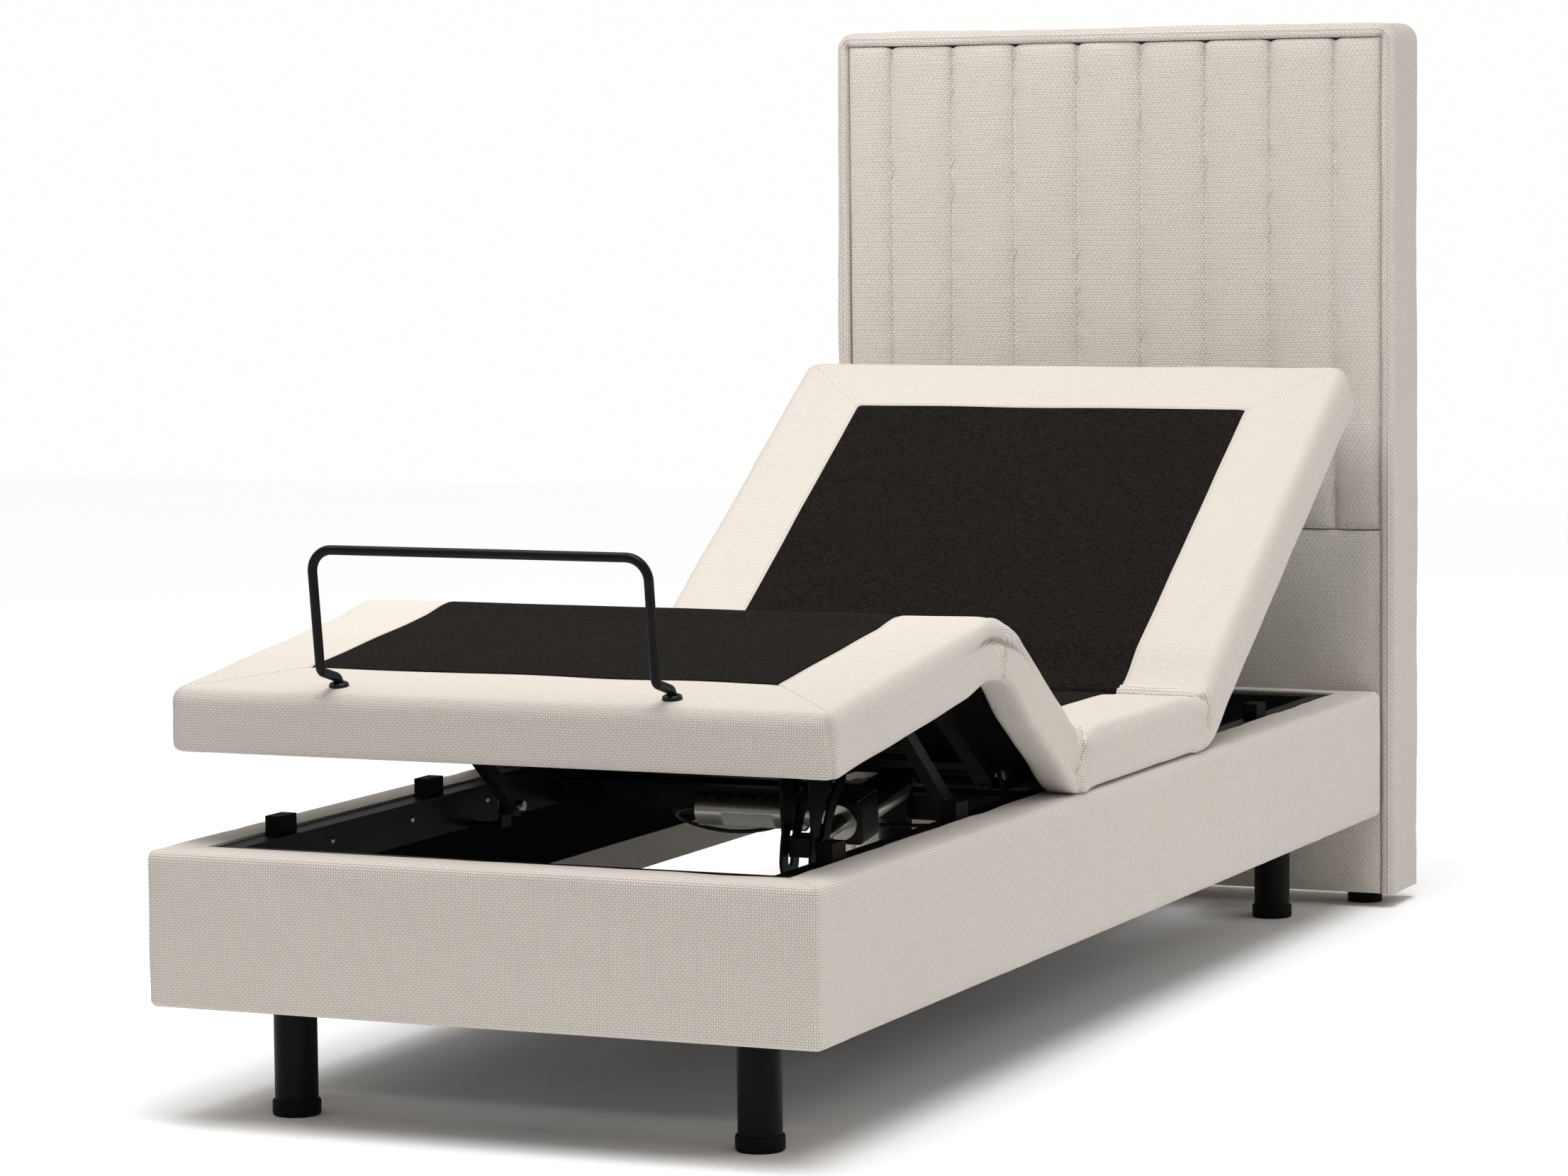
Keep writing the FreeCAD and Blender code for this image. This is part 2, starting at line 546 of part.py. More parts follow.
def drive(name, hinge, toward, rest_angle, nose, motor_side):
    """Housing with gearbox, motor can and a rod whose cross pin runs in the lever slots."""
    tilt = size(f"{name}_drive_tilt")
    travel = size(f"{name}_roller_step") * rest_angle
    start = size(f"{name}_roller_start")
    out = start + travel * cos(radians(tilt))
    drop = size(f"{name}_roller_drop") + travel * sin(radians(tilt))
    middle = size(f"{name}_drive_side")
    roller = point(hinge, HINGE_Z) + FreeCAD.Vector(middle, toward * out, -drop)
    # local frame: the rod's axis is local Y, from the roller back into the housing
    back = FreeCAD.Rotation(SIDE_TO_SIDE, -tilt * toward)
    if toward > 0:
        back = back.multiply(FreeCAD.Rotation(FreeCAD.Vector(0, 0, 1), 180))
    place = FreeCAD.Placement(roller, back)
    radius, length = size("rod_radius"), size("rod_length")
    gap, thick, slack = size("lever_gap"), size("plate_thickness"), 0.6
    up, side = FreeCAD.Vector(0, 1, 0), FreeCAD.Vector(1, 0, 0)

    head = Part.makeBox(gap - 2 * slack, 26, 24, FreeCAD.Vector(-gap / 2 + slack, -12, -12))
    pin_half = gap / 2 + thick + 4
    pin = Part.makeCylinder(size("roller_radius"), 2 * pin_half, FreeCAD.Vector(-pin_half, 0, 0), side)
    caps = [Part.makeCylinder(10, 3, FreeCAD.Vector(x, 0, 0), side) for x in (-pin_half, pin_half - 3)]
    bar = Part.makeCylinder(radius, length, FreeCAD.Vector(), up)
    free_node(f"{name}_drive_rod", head.multiFuse([pin, bar] + caps).removeSplitter(), place)

    long = size("housing_length")
    shell = Part.makeCylinder(size("housing_radius"), long, FreeCAD.Vector(0, nose, 0), up)
    box = size("gearbox_side")
    gears = Part.makeBox(box, 58, box, FreeCAD.Vector(-box / 2, nose + 4, -box / 2))
    bore = Part.makeCylinder(radius + size("running_gap"), long - 6, FreeCAD.Vector(0, nose, 0), up)
    free_node(f"{name}_drive_housing", shell.fuse(gears).removeSplitter().cut(bore), place)

    can = size("motor_radius")
    hand = motor_side if toward < 0 else -motor_side
    neck = Part.makeCylinder(can - 5, 34, FreeCAD.Vector(hand * box / 2, nose + 33, 0), side * hand)
    body = Part.makeCylinder(can, size("motor_length"), FreeCAD.Vector(hand * (box / 2 + 34), nose + 33, 0),
                             side * hand)
    free_node(f"{name}_drive_motor", neck.fuse(body).removeSplitter(), place)


def drives():
    """Each lever's top edge lies under its section's nearest cross tube."""
    far = size("thigh_length - hinge_inset - 2 - brace_inset")
    near = size("hinge_inset + 2 + brace_inset")
    lever("thigh_lever", "foot", THIGH_HINGE, -1, (far - size("thigh_lever_top"), far), AT_THIGH)
    lever("head_lever", "head", HEAD_HINGE, 1, (near, near + size("head_lever_top")), AT_HEAD)
    drive("foot", THIGH_HINGE, -1, size("rest_thigh"), size("foot_nose"), -1)
    drive("head", HEAD_HINGE, 1, size("rest_head"), size("head_nose"), 1)


# ---------------------------------------------------------------- control unit and leads
def lead(points, radius):
    """Straight runs joined by tangent arcs, each as large as its two runs allow."""
    places = [FreeCAD.Vector(*place) for place in points]
    edges, here, radii = [], places[0], []
    for before, corner, after in zip(places, places[1:], places[2:]):
        into, out = (corner - before), (after - corner)
        half = into.getAngle(out) / 2
        setback = 0.45 * min(into.Length, out.Length)
        radii.append(round(setback / tan(half), 1))
        start = corner - into.normalize() * setback
        end = corner + out.normalize() * setback
        centre_way = (start + end) * 0.5 - corner
        arc_radius = setback / tan(half)
        centre = corner + centre_way.normalize() * hypot(arc_radius, setback)
        middle = centre + (corner - centre).normalize() * arc_radius
        edges += [Part.LineSegment(here, start).toShape(), Part.Arc(start, middle, end).toShape()]
        here = end
    edges.append(Part.LineSegment(here, places[-1]).toShape())
    path = Part.Wire(edges)
    way = (places[1] - places[0]).normalize()
    ring = Part.Wire([Part.Circle(places[0], way, radius).toShape()])
    tube = path.makePipeShell([ring], True, False)
    print("lead radii", radii, "volume share", round(tube.Volume / (path.Length * 3.14159265 * radius ** 2), 3))
    return tube


def controls():
    """Control box between the crossbars, its mains inlet and the two short motor leads."""
    x, bar = size("control_side"), size("crossbar_side / 2")
    near, far = size(along("foot_crossbar")) + bar, size(along("head_crossbar")) - bar
    wide, high, low = size("control_width"), size("control_height"), size(f"{FRAME_TOP} - 67")
    box = Part.makeBox(wide, far - near, high, FreeCAD.Vector(x - wide / 2, near, low))
    box = box.makeFillet(5, [edge for edge in box.Edges if abs(edge.tangentAt(edge.FirstParameter).z) > 0.9])
    free_node("control_box", box)
    middle = (near + far) / 2
    inlet = Part.makeBox(12, 26, 20, FreeCAD.Vector(x - wide / 2 - 12, middle - 13, low + 8))
    slot = Part.makeBox(8, 20, 14, FreeCAD.Vector(x - wide / 2 - 12, middle - 10, low + 11))
    free_node("mains_inlet", inlet.cut(slot))

    face, level = x + wide / 2, low + 11
    cans = {item.Label: item.Shape.BoundBox for item in nodes}
    foot, head = cans["foot_drive_motor"], cans["head_drive_motor"]
    foot_y, foot_z, head_y, head_z = foot.Center.y, foot.Center.z, head.Center.y, head.Center.z
    foot_route = [(foot.XMin, foot_y, foot_z), (foot.XMin - 30, foot_y, foot_z),
                  (foot.XMin - 52, foot_y + 36, foot_z - 20), (face + 4, foot_y + 95, low - 5),
                  (face + 32, near - 38, low - 10), (face + 46, near + 2, low - 4),
                  (face + 34, near + 20, level), (face, near + 20, level)]
    head_route = [(head.XMax, head_y, head_z), (head.XMax + 32, head_y, head_z),
                  (head.XMax + 44, head_y - 40, head_z - 14), (head.XMax + 16, head_y - 100, low - 8),
                  (head.XMax - 68, far + 52, low - 13), (head.XMax - 174, far + 20, low - 14),
                  (face + 58, far - 8, low - 6), (face + 32, far - 20, level), (face, far - 20, level)]
    free_node("foot_motor_lead", lead(foot_route, 2.5))
    free_node("head_motor_lead", lead(head_route, 2.5))
    for route in (foot_route, head_route):
        print("lead route", [tuple(round(place / 1000, 5) for place in spot) for spot in route])


# ---------------------------------------------------------------- retainer bar
def retainer():
    """A bent tube that keeps the mattress in place, standing in two bushes on the calf section."""
    radius, half = size("bar_radius"), size("bar_half_width")
    foot, front = size(along("platform_foot + bar_foot")), size(along("platform_foot + bar_foot - bar_lean"))
    base = size(PAD_TOP) - 25
    low, high = size(PAD_TOP) + size("bar_low_bend"), size(PAD_TOP) + size("bar_high_bend")
    top, corner = size(PAD_TOP) + size("bar_rise"), size("bar_corner")
    mid = corner * (1 - cos(radians(45)))

    def at(x, y, z):
        return FreeCAD.Vector(x, y, z)

    edges = [Part.LineSegment(at(-half, foot, base), at(-half, foot, low)),
             Part.LineSegment(at(-half, foot, low), at(-half, front, high)),
             Part.LineSegment(at(-half, front, high), at(-half, front, top - corner)),
             Part.Arc(at(-half, front, top - corner), at(-half + mid, front, top - mid),
                      at(-half + corner, front, top)),
             Part.LineSegment(at(-half + corner, front, top), at(half - corner, front, top)),
             Part.Arc(at(half - corner, front, top), at(half - mid, front, top - mid),
                      at(half, front, top - corner)),
             Part.LineSegment(at(half, front, top - corner), at(half, front, high)),
             Part.LineSegment(at(half, front, high), at(half, foot, low)),
             Part.LineSegment(at(half, foot, low), at(half, foot, base))]
    path = Part.Wire([edge.toShape() for edge in edges])
    ring = Part.Wire([Part.Circle(at(-half, foot, base), FreeCAD.Vector(0, 0, 1), radius).toShape()])
    free_node("retainer_bar", path.makePipeShell([ring], True, False, 2), AT_CALF)

    bushes = []
    for x in (-half, half):
        z = size(PAD_TOP)
        collar = Part.makeCylinder(radius + 5, 4, at(x, foot, z))
        collar = collar.makeFillet(1.5, [collar.Edges[0]])
        bushes.append(collar.cut(Part.makeCylinder(radius, 6, at(x, foot, z - 1))))
    free_node("retainer_bushes", Part.makeCompound(bushes), AT_CALF)
    for x in (-half, half):
        hole = doc.addObject("Part::Feature", "bar_hole")
        hole.Shape = Part.makeCylinder(radius, size("pad_height"), at(x, foot, base))
        pad = [item for item in nodes if item.Label == "calf_pad"][0]
        pad.Links = [cut(pad.Links[0], [hole])]


# ---------------------------------------------------------------- headboard
BOARD_FRONT = "base_length + headboard_gap"
BOARD_BACK = "base_length + headboard_gap + headboard_thickness"


def headboard():
    """Wooden frame with a front board; upholstered border, channel panel, lower panel and back."""
    edge = "headboard_width / 2"
    inner = f"{edge} - border_width"
    low, high = "headboard_low", "headboard_top"
    panel_high = f"{high} - border_width"
    board_front = f"{BOARD_FRONT} + channel_depth"
    board_back = f"{board_front} + board_thickness"
    back = f"{BOARD_BACK} - cover_thickness"
    across = (f"-({inner})", inner)
    upright = (f"{low} + border_width", panel_high)
    boards = [block(across, span(board_front, board_back), upright)]
    for side in (-1, 1):
        boards.append(block(sided(f"{inner} - batten_width", inner, side), span(board_back, back), upright))
    between = (f"-({inner}) + batten_width", f"{inner} - batten_width")
    for start in (f"{low} + border_width", f"{panel_high} - batten_width", "channel_bottom"):
        boards.append(block(between, span(board_back, back), (start, f"{start} + batten_width")))
    node("headboard_frame", boards)

    shell = block((f"-({edge})", edge), span(BOARD_FRONT, BOARD_BACK), (low, high))
    rounded = doc.addObject("Part::Fillet", "soft_edges")
    rounded.Base = shell
    doc.recompute()
    corner = size("headboard_corner")
    box = shell.Shape.BoundBox
    tall = [index for index, item in enumerate(shell.Shape.Edges, start=1)
            if item.BoundBox.ZMax > box.ZMax - 1 and (item.BoundBox.YLength < 1 or item.BoundBox.XLength < 1)]
    rounded.Edges = [(index, corner, corner) for index in tall]
    hollow = block(across, span(f"{BOARD_FRONT} - 1", back), (f"{low} + border_width", panel_high))
    bottom = block(across, span(f"{BOARD_FRONT} - 1", back), (f"{low} - 1", f"{low} + border_width"))
    node("headboard_border", [cut(rounded, [hollow, bottom])])
    node("headboard_channels", [block(across, span(BOARD_FRONT, board_front), ("channel_bottom", panel_high))])
    node("headboard_lower_panel", [block(across, span(BOARD_FRONT, board_front), (low, "channel_bottom"))])

    feet = []
    for side in (-1, 1):
        middle = f"({BOARD_FRONT} + {BOARD_BACK}) / 2"
        x = f"{side} * foot_spread"
        feet.append(fused([rod("z", (x, along(middle), "0"), f"{low}", "foot_radius"),
                           rod("z", (x, along(middle), low), "border_width", "foot_radius / 2")]))
    node("headboard_feet", feet)


def headboard_fixings():
    """Two steel straps bolted through the head rail into the headboard's board."""
    straps, bolts = [], []
    level = f"leg_length + box_height / 2"
    for side in (-1, 1):
        x = f"{side} * 220"
        start = f"base_length - cover_thickness - end_rail_thickness"
        straps.append(block((f"{x} - 20", f"{x} + 20"), span(f"{start} - 4", start),
                            (f"{level} - 30", f"{level} + 30")))
        hole_from = along(f"{start} - 4")
        reach = f"rail_thickness + cover_thickness + headboard_gap + channel_depth + board_thickness - 6"
        shank = rod("y", (x, hole_from, level), reach, "4")
        head = rod("y", (x, along(f"{start} - 9"), level), "5", "9")
        bolts.append(fused([shank, head]))
    node("headboard_bolts", bolts)
    shanks = doc.addObject("Part::Feature", "shanks")
    shanks.Shape = nodes[-1].Shape.copy()
    node("headboard_straps", [cut(strap, [shanks]) for strap in straps])
    for item in nodes:
        if item.Label in ("head_rail", "base_cover", "headboard_lower_panel"):
            item.Links = [cut(item.Links[0], [shanks])]
        if item.Label == "headboard_frame":
            item.Links = [cut(item.Links[0], [shanks])] + item.Links[1:]


box_rails()
base_cover()
legs()
frame_angles()
crossbars()
support_blocks()
sections()
hinges()
struts()
drives()
controls()
retainer()
headboard()
headboard_fixings()
doc.recompute()

for item in doc.Objects:
    bad = [state for state in item.State if state in ("Invalid", "Error")]
    if bad:
        raise RuntimeError(f"{item.Label} ({item.Name}) is {bad}")
os.makedirs("parts", exist_ok=True)
for item in nodes:
    if item.Shape.isNull() or not item.Shape.isValid():
        raise RuntimeError(f"{item.Label} has no valid shape")
for item in nodes:
    item.Shape.exportStep(f"parts/{item.Label}.step")
print(len(nodes), "nodes")
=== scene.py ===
"""Adjustable bed base with four upholstered sections, two drives and a channelled headboard."""

import json
from math import cos, hypot, pi, radians, sin

import bmesh
import bpy
import numpy as np
from mathutils import Matrix, Vector
from mathutils.bvhtree import BVHTree


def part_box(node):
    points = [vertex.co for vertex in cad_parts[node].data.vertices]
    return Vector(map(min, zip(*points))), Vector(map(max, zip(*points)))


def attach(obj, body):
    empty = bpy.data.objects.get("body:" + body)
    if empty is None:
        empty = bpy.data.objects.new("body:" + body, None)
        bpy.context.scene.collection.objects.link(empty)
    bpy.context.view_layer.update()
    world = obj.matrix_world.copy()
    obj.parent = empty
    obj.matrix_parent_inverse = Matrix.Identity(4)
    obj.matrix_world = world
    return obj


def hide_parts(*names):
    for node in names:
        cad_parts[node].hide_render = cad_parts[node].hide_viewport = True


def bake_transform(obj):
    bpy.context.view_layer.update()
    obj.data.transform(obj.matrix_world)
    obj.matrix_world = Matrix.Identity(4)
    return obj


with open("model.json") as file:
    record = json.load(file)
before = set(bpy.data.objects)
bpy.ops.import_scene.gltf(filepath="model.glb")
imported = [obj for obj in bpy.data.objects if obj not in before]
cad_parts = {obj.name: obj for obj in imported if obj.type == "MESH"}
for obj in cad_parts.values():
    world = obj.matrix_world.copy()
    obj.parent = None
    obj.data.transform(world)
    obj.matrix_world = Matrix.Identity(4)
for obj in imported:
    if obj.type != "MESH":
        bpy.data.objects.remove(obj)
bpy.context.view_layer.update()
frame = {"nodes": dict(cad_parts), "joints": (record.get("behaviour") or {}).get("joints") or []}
nodes = frame["nodes"]
scene = bpy.context.scene

# ---- camera, studio light and floor
# The camera stands low at the foot, a little to the right. Three soft lamps, one wide light above
# and a bright room light the bed; the floor is plain white.
CAMERA_PLACE = Vector((2.4938, -5.8568, 1.0845))
CAMERA_TURN, CAMERA_LIFT, CAMERA_LEAN = radians(23.89), radians(4.95), radians(-0.597)



def linked(name, data):
    """A new object of the scene that holds the given data."""
    piece = bpy.data.objects.new(name, data)
    scene.collection.objects.link(piece)
    return piece


camera = linked("camera", bpy.data.cameras.new("camera"))
camera.data.lens, camera.data.sensor_width = 113.6, 36
camera.data.clip_end = 60
backward = Vector((sin(CAMERA_TURN) * cos(CAMERA_LIFT), -cos(CAMERA_TURN) * cos(CAMERA_LIFT), sin(CAMERA_LIFT)))
level = (-backward).cross(Vector((0, 0, 1))).normalized()
upright = level.cross(-backward)
across = level * cos(CAMERA_LEAN) + upright * sin(CAMERA_LEAN)
above = upright * cos(CAMERA_LEAN) - level * sin(CAMERA_LEAN)
camera.matrix_world = Matrix.Translation(CAMERA_PLACE) @ Matrix((across, above, backward)).transposed().to_4x4()
scene.camera = camera
scene.view_settings.view_transform = "Standard"


def soft_lamp(name, place, aim, width, height, power):
    lamp = bpy.data.lights.new(name, "AREA")
    lamp.shape, lamp.size, lamp.size_y, lamp.energy = "RECTANGLE", width, height, power
    lamp.color = (1.0, 0.985, 0.965)
    holder = linked(name, lamp)
    holder.location = place
    holder.rotation_euler = (Vector(aim) - Vector(place)).to_track_quat("-Z", "Y").to_euler()


soft_lamp("right_lamp", (4.6, -1.4, 2.2), (0, -0.1, 0.5), 2.6, 2.6, 10)
soft_lamp("headboard_lamp", (-0.5, -0.9, 2.3), (0, 0.95, 0.80), 1.8, 0.9, 38)
soft_lamp("side_lamp", (3.0, 1.0, 2.0), (0.43, 1.0, 0.75), 1.2, 1.2, 9)
ceiling = bpy.data.lights.new("ceiling", "SUN")
ceiling.energy, ceiling.angle = 2.12, radians(40)
ceiling_holder = linked("ceiling", ceiling)
ceiling_holder.rotation_euler = Vector((-0.20, 0.14, -1.0)).to_track_quat("-Z", "Y").to_euler()

# the room itself looks pure white, and lights the bed less strongly than it looks
room = bpy.data.worlds.new("room")
scene.world = room
room.use_nodes = True
walls, seen = room.node_tree.nodes["Background"], room.node_tree.nodes.new("ShaderNodeLightPath")
strength = room.node_tree.nodes.new("ShaderNodeMapRange")
strength.inputs["To Min"].default_value, strength.inputs["To Max"].default_value = 0.365, 1.0
room.node_tree.links.new(seen.outputs["Is Camera Ray"], strength.inputs["Value"])
room.node_tree.links.new(strength.outputs["Result"], walls.inputs["Strength"])
walls.inputs["Color"].default_value = (1.0, 0.995, 0.99, 1)


class Amount:
    """A number that a finish works out; each sum written with it adds its Math node."""

    def __init__(self, finish, socket):
        self.finish, self.socket = finish, socket

    def combined(self, operation, *values):
        return self.finish.amount("Math", {"operation": operation}, dict(enumerate(values)))

    def __add__(self, other): return self.combined("ADD", self, other)
    def __sub__(self, other): return self.combined("SUBTRACT", self, other)
    def __mul__(self, other): return self.combined("MULTIPLY", self, other)
    def __pow__(self, other): return self.combined("POWER", self, other)
    def __abs__(self): return self.combined("ABSOLUTE", self)
    __radd__, __rmul__ = __add__, __mul__

    def wave(self): return self.combined("SINE", self)
    def pointed(self, height): return self.combined("PINGPONG", self, height)
    def between(self, low, high):
        return self.finish.amount("MapRange", {"interpolation_type": "SMOOTHSTEP"},
                                  {"Value": self, "From Min": low, "From Max": high})


class Nodes:
    """A node tree put together node by node."""

    kinds = ""

    def feed(self, node, inputs):
        for key, value in inputs.items():
            value = value.socket if isinstance(value, Amount) else value
            if isinstance(value, bpy.types.NodeSocket):
                self.tree.links.new(value, node.inputs[key])
            else:
                node.inputs[key].default_value = value

    def node(self, kind, settings=None, inputs=None):
        made = self.tree.nodes.new(self.kinds + kind)
        for key, value in (settings or {}).items():
            setattr(made, key, value)
        self.feed(made, inputs or {})
        return made


class Finish(Nodes):
    """One material of the bed."""

    kinds = "ShaderNode"

    def __init__(self, name, **constants):
        self.material = bpy.data.materials.new(name)
        self.material.use_nodes = True
        self.tree = self.material.node_tree
        self.surface = self.tree.nodes["Principled BSDF"]
        self.feed(self.surface, {key.replace("_", " "): value for key, value in constants.items()})

    def amount(self, kind, settings=None, inputs=None, output=0):
        return Amount(self, self.node(kind, settings, inputs).outputs[output])

    def mixed(self, share, first, second):
        """A colour between two others."""
        return self.node("Mix", {"data_type": "RGBA"}, {0: share, 6: first, 7: second}).outputs[2]

    def speckle(self, size, detail=2.0, along=None):
        """Noise from 0 to 1 whose grain is about so many metres across."""
        where = self.node("TexCoord").outputs["Object"] if along is None else along
        return self.amount("TexNoise", None, {"Vector": where, "Scale": 1 / size, "Detail": detail})

    def relief(self, height, depth):
        bump = self.node("Bump", None, {"Height": height, "Distance": depth, "Strength": 1.0})
        self.feed(self.surface, {"Normal": bump.outputs["Normal"]})


def flecked(name, grain, first, second, detail=3.0, rough=(), depth=0.0, **constants):
    """A finish whose colour wanders between two; its roughness and relief may follow the same grain."""
    finish = Finish(name, **constants)
    flecks = finish.speckle(grain, detail)
    finish.feed(finish.surface, {"Base Color": finish.mixed(flecks, first, second)})
    if rough:
        finish.feed(finish.surface, {"Roughness": rough[0] + flecks * rough[1]})
    if depth:
        finish.relief(flecks, depth)
    return finish


floor_paint = flecked("floor_paint", 0.6, (0.97, 0.97, 0.97, 1), (0.98, 0.98, 0.98, 1), detail=2.0,
                      Roughness=0.9, Specular_IOR_Level=0.1)


def made_mesh(name, places, faces, finish, cloth_map=None):
    """A smooth-shaded mesh object in the row frame; cloth_map holds one pair for each face corner."""
    mesh = bpy.data.meshes.new(name)
    mesh.from_pydata([tuple(place) for place in places], [], faces)
    if cloth_map is not None:
        mesh.uv_layers.new(name="cloth").data.foreach_set("uv", np.asarray(cloth_map, np.float32).ravel())
    mesh.materials.append(finish.material)
    mesh.shade_smooth()
    return linked(name, mesh)


floor = made_mesh("floor", [(-9, -9, 0), (9, -9, 0), (9, 9, 0), (-9, 9, 0)], [(0, 1, 2, 3)], floor_paint)


# ---- platform cloth and the four padded sections
# Cream basket-weave cloth is pulled over foam and stapled under a board. It runs over the joints
# in one length, so it is made as three pieces that meet, unseen, halfway along a rigid section.
def woven(name, pitch, light, shade_and_dark_tone, gap_shade, zigzag=False, depth=0.0008):
    """Cloth whose threads follow the piece's own cloth map, in metres; its colour paints shade on the under
    threads and in the gaps.
    """
    cloth = Finish(name, Roughness=0.92, Specular_IOR_Level=0.22, Sheen_Weight=0.14, Sheen_Roughness=0.55)
    grain = cloth.node("UVMap", {"uv_map": "cloth"}).outputs["UV"]
    split = cloth.node("SeparateXYZ", None, {"Vector": grain})
    warp, weft = Amount(cloth, split.outputs["X"]), Amount(cloth, split.outputs["Y"])
    wander = cloth.speckle(0.012, 2.0, grain) - 0.5
    warp, weft = warp + wander * (pitch * 0.35), weft + wander * (pitch * -0.3)
    if zigzag:
        warp = warp + weft.pointed(pitch * 1.1) * 0.7
        weft = weft * 1.6
    cell = (warp * (pi / pitch)).wave() * (weft * (pi / pitch)).wave()
    height = abs(cell) ** 0.55
    over = cell.between(-0.25, 0.25)
    fibre = cloth.speckle(0.0011, 3.0, grain)
    melange = cloth.speckle(0.0065, 3.0, grain)
    cloudy = cloth.speckle(0.11, 2.0, grain)
    # Threads that pass under take the darker shade colour, which is painted shade. The melange and the clouds
    # below darken towards the same colour, as the yarn's own uneven tone.
    thread = cloth.mixed(over, light, shade_and_dark_tone)
    thread = cloth.mixed(melange.between(0.40, 0.75) * 0.30, thread, shade_and_dark_tone)
    thread = cloth.mixed(fibre.between(0.5, 0.8) * 0.25, thread, (0.93, 0.90, 0.86, 1))
    thread = cloth.mixed(cloudy.between(0.35, 0.7) * 0.10, thread, shade_and_dark_tone)
    # The gaps between the threads take a still darker colour where the weave is low: painted shade in its
    # hollows.
    colour = cloth.mixed(height.between(0.05, 0.55), gap_shade, thread)
    cloth.feed(cloth.surface, {"Base Color": colour, "Roughness": 0.86 + fibre * 0.12})
    cloth.relief(height + fibre * 0.25 + over * 0.2, depth)
    return cloth


platform_cloth = woven("platform_cloth", 0.0031, (0.75, 0.70, 0.645, 1), (0.675, 0.618, 0.56, 1),
                       (0.40, 0.35, 0.30, 1), depth=0.0010)

HINGES = {joint["name"]: joint["pos_m"] for joint in frame["joints"] if "pos_m" in joint}
MIDDLE_SHIFT = 1.08           # row Y of the foot end of the box, changed in sign
PAD_HALF, PAD_LOW, PAD_TOP = 0.4125, 0.317, 0.3930
PAD_ROUND, LIP, DECK_TOP = 0.019, 0.0474, 0.350
FOOT_END, HEAD_END = 0.001 - MIDDLE_SHIFT, 2.032 - MIDDLE_SHIFT
KNEE_FLAT = (0, 0.500 - MIDDLE_SHIFT, 0.338)
THIGH_CUT, SEAT_CUT = 0.650 - MIDDLE_SHIFT, 1.051 - MIDDLE_SHIFT
FELT_HALF, FELT_FOOT, FELT_HEAD = 0.292, 0.127 + FOOT_END, HEAD_END - 0.115
THIGH_TURN, KNEE_TURN, HEAD_TURN = radians(33), radians(40.1), radians(32.9)
GRID_STEP = 0.0115


def grid_lines(stops, step):
    """Grid lines through every stop, evenly spaced between each two."""
    placed = [stops[0]]
    for low, high in zip(stops, stops[1:]):
        count = max(1, round((high - low) / step))
        placed += [low + (high - low) * number / count for number in range(1, count + 1)]
    return placed


def rim_stops(low, high, rounding, low_soft=True, high_soft=True):
    """Stops that crowd together near a rounded edge."""
    near = [0, 0.28 * rounding, 0.6 * rounding, rounding]
    start = [low + step for step in near] if low_soft else [low]
    end = [high - step for step in reversed(near)] if high_soft else [high]
    return start, end


def block_skin(xs, ys, zs):
    """The skin of a block on grid lines: corner places, faces and the cloth map of their corners."""
    index, places, faces, cloth = {}, [], [], []
    last = (len(xs) - 1, len(ys) - 1, len(zs) - 1)

    def corner(key):
        if key not in index:
            index[key] = len(places)
            places.append((xs[key[0]], ys[key[1]], zs[key[2]]))
        return index[key]

    def unrolled(side, key):
        x, y, z = xs[key[0]], ys[key[1]], zs[key[2]]
        down = zs[-1] - z
        return {"top": (x, y), "bottom": (x, 2 * ys[0] - y), "front": (x, ys[0] - down),
                "back": (x, ys[-1] + down), "right": (xs[-1] + down, y), "left": (xs[0] - down, y)}[side]

    def skin(side, rows, columns, key):
        for row in range(rows):
            for column in range(columns):
                keys = [key(row, column), key(row + 1, column), key(row + 1, column + 1), key(row, column + 1)]
                faces.append([corner(one) for one in keys])
                cloth.extend(unrolled(side, one) for one in keys)

    skin("top", last[0], last[1], lambda a, b: (a, b, last[2]))
    skin("bottom", last[1], last[0], lambda a, b: (b, a, 0))
    skin("front", last[0], last[2], lambda a, b: (a, 0, b))
    skin("back", last[2], last[0], lambda a, b: (b, last[1], a))
    skin("right", last[1], last[2], lambda a, b: (last[0], a, b))
    skin("left", last[2], last[1], lambda a, b: (0, b, a))
    return np.array(places), faces, cloth


def rounded(places, low, high, radius):
    """Carry the skin of a block onto the same block with rounded edges, each place with its own radius.

    An end without rounding has None.
    """
    far = np.full(len(places), 9.0)
    inner_low = np.stack([-far if edge is None else edge + radius for edge in low], axis=1)
    inner_high = np.stack([far if edge is None else edge - radius for edge in high], axis=1)
    core = np.clip(places, inner_low, inner_high)
    out = places - core
    reach = np.linalg.norm(out, axis=1)
    return core + out * np.where(reach > 1e-9, radius / np.maximum(reach, 1e-9), 0)[:, None]


def read_places(mesh):
    places = np.zeros(len(mesh.vertices) * 3)
    mesh.vertices.foreach_get("co", places)
    return places.reshape(-1, 3)


def read_normals(mesh):
    normals = np.zeros(len(mesh.vertices) * 3)
    mesh.vertex_normals.foreach_get("vector", normals)
    return normals.reshape(-1, 3)


def write_places(mesh, places):
    mesh.vertices.foreach_set("co", np.asarray(places, np.float32).ravel())
    mesh.update()


STIFFNESS, SETTLING = 8.0, 20    # of the cloth, and the moments it gets to settle


